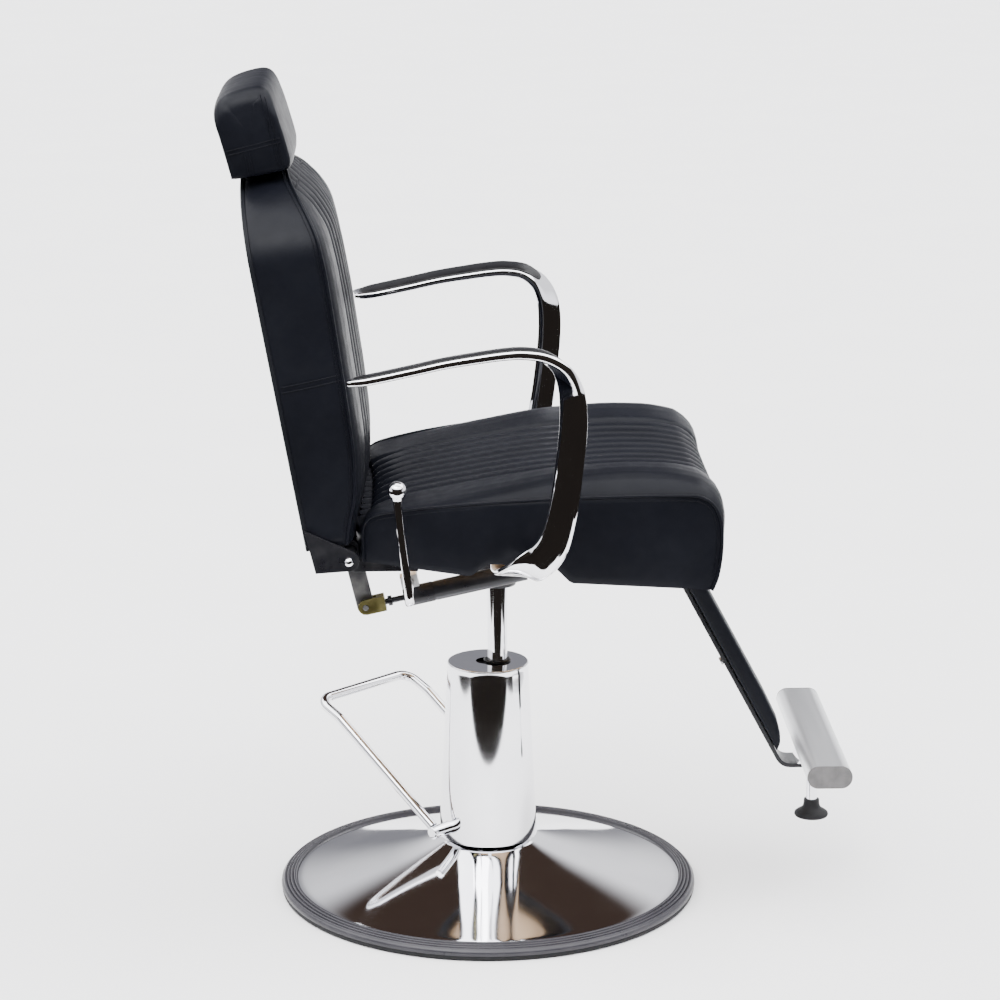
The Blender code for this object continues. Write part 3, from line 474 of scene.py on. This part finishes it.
# Back cushion, in the backrest's leaning frame: x forward, z up the back
def back_half(w):
    w = np.asarray(w, float)
    arch = np.clip(1 - (np.clip(w - BACK_KNEE, 0, None) / 0.1135) ** 2.3, 0.03, 1) ** 0.5
    return BACK_HALF * arch


def border(rows):
    """The points round the edge of a grid of rows."""
    up, down = (r[0] for r in rows[:-1]), (r[-1] for r in rows[:0:-1])
    return np.array([*up, *rows[-1][:-1], *down, *rows[0][:0:-1]])


def outward_of(points):
    """Unit steps away from the back's middle, in the plane of the back."""
    steps = (points - np.array(BACK_MIDDLE)) * (0, 1, 1)
    return steps / np.linalg.norm(steps, axis=1)[:, None]


def build_back():
    heights = eased(0.0225, BACK_KNEE, 0.5115, 74, 46)
    edge_f = np.interp(
        heights, (0.022, 0.047, 0.083, 0.14, 0.22, 0.33, 0.39, 0.435, 0.460, 0.480, 0.500, 0.5115),
        (0.0, 0.008, 0.0235, 0.0335, 0.0375, 0.041, 0.0425, 0.0405, 0.033, 0.024, 0.013, 0.008)
    )
    edge_f = smoothed(edge_f, 3)
    crown = np.interp(
        heights, (0.022, 0.05, 0.10, 0.20, 0.33, 0.42, 0.47, 0.50, 0.5115),
        (0.014, 0.015, 0.015, 0.016, 0.016, 0.014, 0.011, 0.006, 0.003)
    )
    rows = []
    for w, e, c in zip(heights, edge_f, crown):
        half = float(back_half(w))
        y = columns(half)
        shares = y / half
        lift = np.interp(
            np.abs(shares), (0, 0.2, 0.4, 0.56, 0.70, 0.82, 0.91, 0.965, 1),
            (1.36, 1.30, 1.13, 0.96, 0.90, 0.80, 0.58, 0.32, 0)
        )
        fade = np.clip((1 - np.abs(shares)) / 0.05, 0, 1) if half < 0.17 else 1.0
        f = e + c * lift + channel_depth(y, 0.0070) * fade * np.interp(
            w, (0.02, 0.045, 0.49, 0.5115), (0.3, 1, 1, 0.55)
        )
        rows.append(np.stack([f, y, np.full_like(y, w)], 1))
    loop = border(rows)
    away = outward_of(loop)
    rings = []
    for share in np.linspace(0, 1, 13):
        ring = loop.copy()
        ring[:, 0] = loop[:, 0] * (1 - share) + BOARD_REAR * share
        swell = 0.0042 * math.sin(math.pi * share) ** 0.7 - 0.0012 * share
        ring += away * swell * (loop[:, 2] > 0.03)[:, None]
        rings.append(ring)
    grids = [rows, looped(rings)]
    pad = made_object(
        "back_pad", grid_mesh("back_pad", grids, SEAM_WELD, [rings[-1]]), LEATHER, "backrest", 50,
        ("back_cushion", "back_board"), "black_leather", BACK_FRAME
    )
    edge = np.array([*(r[0] for r in rows), *rows[-1][1:-1], *(r[-1] for r in rows[::-1])])
    outward = outward_of(edge)
    line = [BACK_FRAME @ Vector(p + o * 0.0008 + np.array((0.0004, 0, 0))) for p, o in zip(edge, outward)]
    cord_along("back_piping", line, BACK_PIPE, LEATHER, "backrest", slot="black_leather")
    line = [BACK_FRAME @ Vector(p + o * 0.0022 - np.array((0.0062, 0, 0))) for p, o in zip(edge, outward)]
    cord_along("back_topstitch", line[4:-4], THREAD, LEATHER, "backrest", slot="black_leather")
    for k, gap in enumerate((0.0, 0.0075)):
        for name, side in SIDES:
            line = []
            for f in np.linspace(0.036, -0.044, 24):
                swell = 0.0042 * math.sin(math.pi * (0.0375 - f) / 0.0851) ** 0.7
                height = 0.243 + gap + 0.004 * math.sin(9 * f)
                line.append(BACK_FRAME @ Vector((f, side * (0.2352 + swell), height)))
            cord_along(
                f"back_side_seam_{name}_{k + 1}", line, THREAD, LEATHER, "backrest", slot="black_leather"
            )


def build_rear_panel():
    """The cover behind the back: a thin crowned panel with a rolled edge."""
    heights = eased(0.0235, BACK_KNEE, 0.5085, 40, 26)
    shares = np.linspace(-1, 1, 61)
    rows = []
    for w in heights:
        half = float(back_half(min(w + 0.001, 0.5105))) - 0.001
        bulge = 0.0042 * (1 - np.abs(shares) ** 6) * math.sin(
            math.pi * min(max((w - 0.02) / 0.49, 0), 1)
        ) ** 0.4
        rows.append(np.stack([COVER_REAR - bulge, shares * half, np.full(61, w)], 1))
    loop = border(rows)
    away = outward_of(loop)
    rings = []
    for share in np.linspace(0, 1, 7):
        ring = loop.copy()
        ring[:, 0] = loop[:, 0] + 0.0042 * share
        ring += away * 0.0016 * math.sin(math.pi * share)
        rings.append(ring)
    grids = [rows, looped(rings)]
    made_object(
        "back_cover", grid_mesh("back_cover", grids, SEAM_WELD, [rings[-1]]), LEATHER_REAR, "backrest", 50,
        ("rear_panel",), "black_leather", BACK_FRAME
    )
    line = [BACK_FRAME @ Vector((COVER_REAR, y, w)) for _, y, w in loop]
    cord_along(
        "back_cover_piping", line, COVER_PIPE, LEATHER_REAR, "backrest", closed=True, slot="black_leather"
    )


HEAD_SEAMS = (
    ((-0.0600, 0.556), (0.013, 0.561)), ((-0.0595, 0.5505), (0.013, 0.5555)),
    ((-0.030, 0.548), (-0.0305, 0.520)), ((-0.0365, 0.548), (-0.037, 0.520)),
    ((0.0105, 0.524), (0.004, 0.618)), ((0.0050, 0.524), (-0.0015, 0.622)),
)


def build_headrest():
    outline = [
        (-0.0585, 0.5172), (-0.0615, 0.5230), (-0.0635, 0.545), (-0.0660, 0.572), (-0.0685, 0.5955),
        (-0.0668, 0.6090), (-0.0600, 0.6205), (-0.0480, 0.6280), (-0.028, 0.6320), (-0.006, 0.6325),
        (0.0050, 0.6275), (0.0105, 0.6170), (0.0140, 0.598), (0.0175, 0.570), (0.0205, 0.540),
        (0.0200, 0.5270), (0.0140, 0.5178), (-0.020, 0.5160),
    ]
    outline = curve_through(outline, 120, closed=True)
    along = np.roll(outline, -1, 0) - np.roll(outline, 1, 0)
    normal = left_of(along)
    shares = np.linspace(-1, 1, 61)
    rows = []
    soft = 0.006 + 0.020 * np.clip((outline[:, 1] - 0.590) / 0.035, 0, 1)
    for (f, w), (nf, nw), half in zip(outline, normal, HEAD_HALF - soft):
        puff = 0.0025 * (1 - np.abs(shares) ** 5)
        rows.append(np.stack([f + nf * puff, shares * half, w + nw * puff], 1))
    rows.append(rows[0])
    grids = [rows]
    cf, cw = -0.024, 0.570
    for side in (-1, 1):
        rings = []
        for turn in np.linspace(0, math.pi / 2, 9):
            ring = outline - normal * (soft * (1 - math.cos(turn)))[:, None]
            deep = soft * (1 - math.sin(turn))
            rings.append([(f, side * (HEAD_HALF - d), w) for (f, w), d in zip(ring, deep)])
        last = rings[-1]
        for share in np.linspace(0, 1, 9)[1:]:
            y, left = side * (HEAD_HALF + HEAD_BULGE * math.sin(math.pi / 2 * share)), 1 - share
            rings.append([(cf + (f - cf) * left, y, cw + (w - cw) * left) for f, _, w in last])
        grids.append(looped(rings))
    pad = made_object(
        "head_pad", grid_mesh("head_pad", grids, SEAM_WELD), LEATHER, "headrest", 50, ("headrest_cushion",),
        "black_leather", BACK_FRAME
    )
    for name, side in SIDES:
        for k, (start, end) in enumerate(HEAD_SEAMS):
            line = []
            for share in np.linspace(0, 1, 20):
                f, w = (np.array(start) * (1 - share) + np.array(end) * share)
                out = min(1.0, 1.0 - max(abs(f + 0.024) / 0.043, abs(w - 0.575) / 0.058))
                y = HEAD_HALF + HEAD_BULGE * math.sin(math.pi / 2 * max(out, 0))
                line.append(BACK_FRAME @ Vector((f, side * y, w)))
            cord_along(f"head_seam_{name}_{k + 1}", line, THREAD, LEATHER, "headrest", slot="black_leather")


# Arms: x, y, z, the bar's heading and tilt in degrees, its width and its thickness
ARM_STATIONS = (
    (-0.1900, 0.3185, 0.8120, 90, 6.0, 0.024, 0.0085),
    (-0.1820, 0.3195, 0.8133, 90, 6.0, 0.037, 0.0100),
    (-0.1600, 0.3205, 0.8165, 90, 6.5, 0.044, 0.0115),
    (-0.1080, 0.3205, 0.8274, 90, 6.5, 0.045, 0.0118),
    (-0.0650, 0.3205, 0.8368, 90, 6.5, 0.045, 0.0120),
    (-0.0220, 0.3205, 0.8437, 90, 6.5, 0.045, 0.0125),
    (0.0120, 0.3205, 0.8482, 90, 6.5, 0.045, 0.0130),
    (0.0380, 0.3205, 0.8492, 88, 6.5, 0.045, 0.0135),
    (0.0640, 0.3205, 0.8445, 80, 6.0, 0.045, 0.0140),
    (0.0855, 0.3205, 0.8290, 67, 5.0, 0.045, 0.0140),
    (0.0975, 0.3205, 0.8060, 56, 3.0, 0.045, 0.0140),
    (0.1020, 0.3205, 0.7780, 50, 0.0, 0.045, 0.0140),
    (0.1015, 0.3205, 0.7400, 48, 0.0, 0.045, 0.0140),
    (0.0965, 0.3200, 0.6900, 47, 0.0, 0.045, 0.0140),
    (0.0910, 0.3195, 0.6480, 45, 0.0, 0.045, 0.0140),
    (0.0855, 0.3170, 0.6180, 43, 0.0, 0.045, 0.0140),
    (0.0780, 0.3120, 0.5920, 40, 0.0, 0.045, 0.0140),
    (0.0660, 0.3030, 0.5710, 36, 0.0, 0.045, 0.0140),
    (0.0480, 0.2900, 0.5550, 28, 0.0, 0.045, 0.0130),
    (0.0320, 0.2730, 0.5450, 15, 0.0, 0.045, 0.0115),
    (0.0240, 0.2520, 0.5385, 5, 0.0, 0.045, 0.0100),
    (0.0200, 0.2300, 0.5370, 0, 0.0, 0.045, 0.0100),
    (0.0200, 0.2000, 0.5400, 0, 0.0, 0.045, 0.0100),
    (0.0200, 0.1680, 0.5405, 0, 0.0, 0.045, 0.0100),
)


def arm_rows(side, section, first=0.0, last=1.0, per_span=9):
    rows = spline(ARM_STATIONS, per_span)
    places = rows[:, :3] * (1, side, 1)
    along = np.gradient(places, axis=0)
    along /= np.linalg.norm(along, axis=1)[:, None]
    made = []
    chosen = [i for i in range(len(rows)) if first <= i / (len(rows) - 1) <= last]
    for i in chosen:
        heading, tilt = np.radians(rows[i, 3:5])
        inward = np.array(
            (-np.cos(heading) * np.cos(tilt), -side * np.sin(heading) * np.cos(tilt), -np.sin(tilt))
        )
        inward -= along[i] * (inward @ along[i])
        inward /= np.linalg.norm(inward)
        up = np.cross(along[i], inward) * -side
        ends_in = min(i - chosen[0], chosen[-1] - i) / per_span
        made.append([places[i] + inward * a + up * b for a, b in section(rows[i, 5], rows[i, 6], ends_in)])
    return made


def bar_section(width, thickness, _):
    """A superellipse, a little flatter above than below."""
    points = []
    for angle in np.linspace(0, 2 * math.pi, 49)[:-1]:
        c, s = math.cos(angle), math.sin(angle)
        across, deep = math.copysign(abs(c) ** 0.42, c), math.copysign(abs(s) ** (0.42 + 0.12), s)
        points.append((width / 2 * across, thickness / 2 * deep))
    return points


def pad_section(width, thickness, ends_in):
    """The pad on top: its width and height taper to its ends."""
    taper = min(1.0, ends_in / 0.9) ** 0.5
    half, low = width * 0.455 * (0.35 + 0.65 * taper), thickness / 2 - 0.0012
    high = 0.0012 + 0.0022 * (0.3 + 0.7 * taper)
    return [(half * math.cos(a), low + high * math.sin(a) ** 0.62) for a in np.linspace(0, math.pi, 25)]


ARM_PIECES = (
    ("arm_bar", bar_section, (0.0, 1.0), CHROME, 60, "arm", "chrome"),
    ("arm_top", pad_section, (0.040, 0.390), PAD, 50, "arm_pad", "black_plastic"),
)


def build_arms():
    for name, side in SIDES:
        for piece, section, reach, look, crease, node, slot in ARM_PIECES:
            rows = arm_rows(side, section, *reach)
            mesh = grid_mesh(f"{piece}_{name}", [looped(rows)], FINE_WELD, (rows[0], rows[-1]))
            made_object(f"{piece}_{name}", mesh, look, "seat", crease, (f"{node}_{name}",), slot)


# Base, pump and column
def build_base():
    top = curve_through(
        [
            (0.2765, 0.0174), (0.268, 0.0190), (0.240, 0.0258), (0.200, 0.0360), (0.160, 0.0465),
            (0.125, 0.0560), (0.095, 0.0650), (0.075, 0.0722), (0.0655, 0.0780), (0.0620, 0.0885)
        ],
        60
    )
    shell = [
        *map(tuple, top), *((r - 0.0016, z - 0.0012) for r, z in top[::-1]), (0.2749, 0.0070),
        (0.2768, 0.0070)
    ]
    turned(
        "dome", shell, CHROME, "base", 192, ring=True, crease=50, replaces=("base_cover",), slot="chrome"
    )
    ridges = []
    for k in range(4):
        centre = (0.2945 - 0.0048 * k, 0.0152 + 0.0013 * k)
        ridges += [
            (centre[0] + 0.0024 * math.cos(a), centre[1] + 0.0022 * math.sin(a))
            for a in np.radians((0, 30, 60, 90, 120, 150, 178))
        ]
    ring = [
        (0.2775, 0.0066), (0.2985, 0.0066), (0.3000, 0.0095), (0.2995, 0.0130), (0.2978, 0.0146), *ridges,
        (0.2775, 0.0190)
    ]
    turned(
        "base_rim", ring, TRIM, "base", 192, ring=True, crease=60, replaces=("base_trim_ring",),
        slot="grey_trim"
    )
    turned(
        "base_gasket",
        [
            (0.2678, 0.0002), (0.2955, 0.0002), (0.2985, 0.0016), (0.2992, 0.0040), (0.2986, 0.0063),
            (0.2678, 0.0063)
        ],
        RUBBER, "base", 160, ring=True, replaces=("floor_gasket",), slot="black_rubber"
    )
    line = [(0.0705, 0.0805), (0.0580, 0.3352), *arc((0.0560, 0.3360), 0.0022, 10, 90, 6)]
    slant = curve_through(line[:2], 40)
    shell = [
        *map(tuple, slant), *line[2:], (0.0172, 0.3382), (0.0172, 0.3368), (0.0558, 0.3366),
        (0.0690, 0.0805)
    ]
    turned(
        "column_cover", shell, CHROME, "base", 160, ring=True, crease=50, replaces=("cone_cover",),
        slot="chrome"
    )


def build_column():
    turned(
        "column_rod",
        [(0, 0.2202), (0.013, 0.2202), (0.014, 0.2212), (0.014, 0.4975), (0.012, 0.4995), (0, 0.4995)],
        CHROME, "lift", 64, centre=(COLUMN_X, 0, 0), replaces=("piston_rod",), slot="chrome"
    )
    turned(
        "column_bush",
        [
            (0.0143, 0.3347), (0.0165, 0.3347), (0.0165, 0.3386), (0.0192, 0.3388), (0.0196, 0.3402),
            (0.0186, 0.3415), (0.0168, 0.3420), (0.0143, 0.3420)
        ],
        PAD, "base", 64, centre=(COLUMN_X, 0, 0), ring=True, replaces=("cover_bush",), slot="black_plastic"
    )


def tube_path(corners, radius, steps=14):
    corners = [Vector(c) for c in corners]
    path = [corners[0]]
    for before, corner, after in zip(corners, corners[1:], corners[2:]):
        a, b = (before - corner).normalized(), (after - corner).normalized()
        half = a.angle(b) / 2
        reach = radius / math.tan(half)
        centre = corner + (a + b).normalized() * radius / math.sin(half)
        start, end = corner + a * reach - centre, corner + b * reach - centre
        turn = math.pi - 2 * half
        for i in range(steps + 1):
            share = i / steps
            path.append(
                centre + (
                    start * math.sin((1 - share) * turn) + end * math.sin(share * turn)
                ) / math.sin(turn)
            )
    return path + [corners[-1]]


def build_rods():
    turn = Matrix.Rotation(math.radians(45), 4, "Z")
    axis = Matrix.Translation(turn @ Vector((0, 0.0139, 0.100))) @ turn
    near = [(-0.092, 0.008, 0.0055), (-0.092, 0.197, 0.1267), (-0.092, 0.2415, 0.1450)]
    path = [axis @ p for p in tube_path(near + [(-x, y, z) for x, y, z in near[::-1]], 0.022)]
    cord_along("pedal_loop", path, 0.007, CHROME, "pedal", 24, replaces=("pedal_bar",), slot="chrome")
    c, s = math.cos(STRUT_RISE), math.sin(STRUT_RISE)
    along, across = 0.0665, 0.0219
    x, y, z = STRUT_EYE
    place = Vector((x + along * c - across * s, y, z + along * s + across * c))
    knob = Vector((-0.0160, -0.120, 0.1560))
    path = [
        place + p
        for p in tube_path([(0, 0.008, 0), (0, -0.120, 0), knob - Vector((0, 0, 0.0134))], 0.012)
    ]
    cord_along(
        "recline_rod", path, 0.0058, CHROME, "release_lever", 24, replaces=("lever_rod",), slot="chrome"
    )
    ball = [
        (0, -0.0128), (0.0072, -0.0128), (0.0080, -0.0112), (0.0086, -0.0094),
        *[(0.0127 * math.cos(a), 0.0127 * math.sin(a)) for a in np.radians(np.arange(-42, 90, 6))],
        (0, 0.0127)
    ]
    turned(
        "recline_knob", ball, CHROME, "release_lever", 48, centre=place + knob, replaces=("lever_knob",),
        slot="chrome"
    )


def build_strut():
    lean = Matrix.Rotation(-STRUT_RISE, 4, "Y") @ Matrix.Rotation(math.pi / 2, 4, "Y")
    frame_of = Matrix.Translation(STRUT_EYE) @ lean
    tube = [
        (0.0105, 0.225), (0.0128, 0.225), (0.0135, 0.2243), (0.0135, 0.0985), (0.0131, 0.0975),
        (0.0131, 0.0955), (0.0137, 0.0945), (0.0137, 0.0560), (0.0125, 0.054), (0, 0.054), (0, 0.100),
        (0.0105, 0.100)
    ]
    turned(
        "strut_body", tube, PAINT, "strut_cylinder", 64, ring=True, replaces=("strut_tube",),
        slot="black_paint", place=frame_of
    )


def build_footrest():
    x, z, half, high = 0.470, 0.219, 0.0315, 0.0160

    def oval(inset, count=11):
        r = high - 0.0005 - inset
        points = []
        for k, (sx, sz) in enumerate(((1, 1), (-1, 1), (-1, -1), (1, -1))):
            points += arc(
                (x + sx * (half - inset - r), z + sz * (high - inset - r)), r, 90 * k, 90 * k + 90, count
            )
        return points

    outer, inner = oval(0), oval(0.002)
    rows = []
    end = 0.18
    for ring, y in ((inner, -end), (outer, -end), (outer, end), (inner, end)):
        rows.append([(a, y, b) for a, b in [*ring, ring[0]]])
    rows.append(rows[0])
    made_object(
        "foot_bar", grid_mesh("foot_bar", [rows], FINE_WELD), ALUMINIUM, "seat", 40, ("footrest_tube",),
        "aluminium"
    )
    for name, side in SIDES:
        ys = sorted((side * 0.1803, side * 0.1833))
        prism(
            f"foot_bar_cap_{name}", oval(0), *ys, GREY, "seat", 0.0008, replaces=(f"footrest_cap_{name}",),
            slot="grey_plastic"
        )
    foot = [
        (0, 0.098), (0.0205, 0.098), (0.0235, 0.0990), (0.0247, 0.1012), (0.0240, 0.1040), (0.0205, 0.1068),
        (0.0160, 0.1092), (0.0130, 0.1125), (0.0116, 0.1170), (0.0110, 0.1240), (0, 0.1240)
    ]
    turned(
        "foot_bumper", foot, RUBBER, "seat", 64, centre=(x, 0, 0), replaces=("footrest_foot",),
        slot="black_rubber"
    )
    turned(
        "foot_stem", [(0, 0.1243), (0.0080, 0.1243), (0.0080, 0.2025), (0, 0.2025)], CHROME, "seat", 48,
        centre=(x, 0, 0), replaces=("footrest_stem",), slot="chrome"
    )


def build_leg_cover():
    """The padded cover down the front of the leg, with a soft front face."""
    lean = math.radians(28.3)
    s, c = math.sin(lean), math.cos(lean)

    def place(down, front, y=0.0):
        return np.array((0.2285 + down * s + front * c, y, 0.544 - down * c + front * s))

    downs = eased(0.060, 0.330, 0.383, 40, 18)
    fronts = np.interp(
        downs, (0.060, 0.300, 0.345, 0.365, 0.377, 0.383), (0.0268, 0.0268, 0.0245, 0.0195, 0.0135, 0.0060)
    )
    rows, base = [], 0.0036
    for d, f in zip(downs, fronts):
        ring = []
        for angle in np.linspace(0, 2 * math.pi, 41)[:-1]:
            a, b = math.cos(angle), math.sin(angle)
            deep = (f - base) / 2
            across = 0.0298 * math.copysign(abs(a) ** 0.25, a)
            crown = 0.0016 * math.cos(across / 0.03 * 1.4) if b > 0 else 0
            front = base + deep + deep * math.copysign(abs(b) ** 0.35, b) + crown
            ring.append(place(d, front, across))
        rows.append(ring)
    mesh = grid_mesh("leg_pad", [looped(rows)], FINE_WELD, (rows[0], rows[-1]))
    pad = made_object("leg_pad", mesh, LEATHER, "seat", 50, ("leg_cover",), "black_leather")


build_seat()
build_back()
build_rear_panel()
build_headrest()
build_arms()
build_base()
build_column()
build_rods()
build_strut()
build_footrest()
build_leg_cover()


# Studio: a pale floor, one soft lamp, and a world of pale and dark areas for the chrome to reflect
FLOOR_REACH = 40
FLAG_FRONT, FLAG_MOUTH, FLAG_BACK = -0.92, 1.15, 13
WHITE, SIDE_STRIP = (6.0, 6.0, 6.1), (2.2, 2.2, 2.3)
BAND_MIDDLE, BAND_SIDES = (0.30, 0.30, 0.33), (1.5, 1.5, 1.55)
DARK, BROWN = (0.030, 0.024, 0.020), (0.060, 0.040, 0.032)
CAMERA_PLACE, CAMERA_TILT, CAMERA_YAW = (-0.1262, -4.303, 1.653), 75.94, -1.91


def build_studio():
    floor = bpy.data.meshes.new("studio_floor")
    far = FLOOR_REACH
    floor.from_pydata([(-far, -far, 0), (far, -far, 0), (far, far, 0), (-far, far, 0)], [], [(0, 1, 2, 3)])
    ground = bpy.data.objects.new("studio_floor", floor)
    scene.collection.objects.link(ground)
    made, shader, coords = new_material("floor_paper", 0.0, Roughness=0.8, Specular_IOR_Level=0.1)
    made.node_tree.links.new(
        ramp(made, noise(made, coords, 3, 2), [(0.3, 0.93), (0.7, 0.95)]), shader.inputs["Base Color"]
    )
    floor.materials.append(made)
    ground.location.z = -0.0003

    # Black flags laid on the floor in front and at the sides: only reflections see them
    flags = bpy.data.meshes.new("studio_flags")
    front, mouth, back = FLAG_FRONT, FLAG_MOUTH, FLAG_BACK
    corners = [(-far, -far), (far, -far), (far, front), (mouth, front), (-mouth, front), (-far, front)]
    corners += [(far, far), (back, far), (-back, far), (-far, far)]
    flags.from_pydata(
        [(x, y, 0.001) for x, y in corners], [], [(0, 1, 2, 3, 4, 5), (3, 2, 6, 7), (5, 4, 8, 9)]
    )
    cloth = finish_of(
        "flag_cloth", (0.004, 0.0033, 0.0028), (0.006, 0.005, 0.0043), (0.9, 1.0), Specular_IOR_Level=0.0
    )
    flags.materials.append(cloth)
    flag = bpy.data.objects.new("studio_flags", flags)
    flag.visible_camera = flag.visible_diffuse = flag.visible_shadow = False
    scene.collection.objects.link(flag)

    world = bpy.data.worlds.new("studio")
    scene.world = world
    world.use_nodes = True
    nodes, links = world.node_tree.nodes, world.node_tree.links
    split = nodes.new("ShaderNodeSeparateXYZ")
    links.new(nodes.new("ShaderNodeTexCoord").outputs["Generated"], split.inputs[0])
    side = nodes.new("ShaderNodeMath")
    side.operation = "ABSOLUTE"
    links.new(split.outputs["X"], side.inputs[0])

    def layer(under, over, value, start, end):
        """The colour over takes the place of under as value goes from start to end."""
        gate = nodes.new("ShaderNodeMapRange")
        gate.interpolation_type = "SMOOTHSTEP"
        gate.inputs["From Min"].default_value, gate.inputs["From Max"].default_value = start, end
        links.new(value, gate.inputs["Value"])
        mix = nodes.new("ShaderNodeMix")
        mix.data_type = "RGBA"
        links.new(gate.outputs["Result"], mix.inputs["Factor"])
        for key, colour in (("A", under), ("B", over)):
            if isinstance(colour, tuple):
                mix.inputs[key].default_value = (*colour, 1)
            else:
                links.new(colour, mix.inputs[key])
        return mix.outputs["Result"]

    band = layer(BAND_MIDDLE, BAND_SIDES, side.outputs[0], 0.12, 0.26)
    colour = layer(band, DARK, split.outputs["Y"], 0.20, -0.20)
    colour = layer(colour, SIDE_STRIP, side.outputs[0], 0.84, 0.95)
    card = layer(BROWN, WHITE, side.outputs[0], 0.42, 0.50)
    above = layer(WHITE, card, split.outputs["Y"], 0.30, 0.42)
    colour = layer(colour, above, split.outputs["Z"], 0.46, 0.60)
    colour = layer(colour, WHITE, split.outputs["Z"], 0.88, 0.94)
    colour = layer(colour, DARK, split.outputs["Z"], 0.0, -0.06)
    links.new(colour, nodes["Background"].inputs["Color"])
    nodes["Background"].inputs["Strength"].default_value = 1.0

    light = bpy.data.lights.new("key", "AREA")
    light.shape, light.size, light.size_y, light.energy = "RECTANGLE", 1.8, 1.2, 40
    lamp = bpy.data.objects.new("key", light)
    lamp.location = (-0.9, -1.6, 3.0)
    lamp.rotation_euler = (Vector((0, 0, 0.6)) - lamp.location).to_track_quat("-Z", "Y").to_euler()
    scene.collection.objects.link(lamp)

    camera = bpy.data.objects.new("camera", bpy.data.cameras.new("camera"))
    scene.collection.objects.link(camera)
    camera.location = CAMERA_PLACE
    camera.rotation_euler = (math.radians(CAMERA_TILT), 0, math.radians(CAMERA_YAW))
    camera.data.sensor_width, camera.data.lens = 36, 113.08
    scene.camera = camera


build_studio()
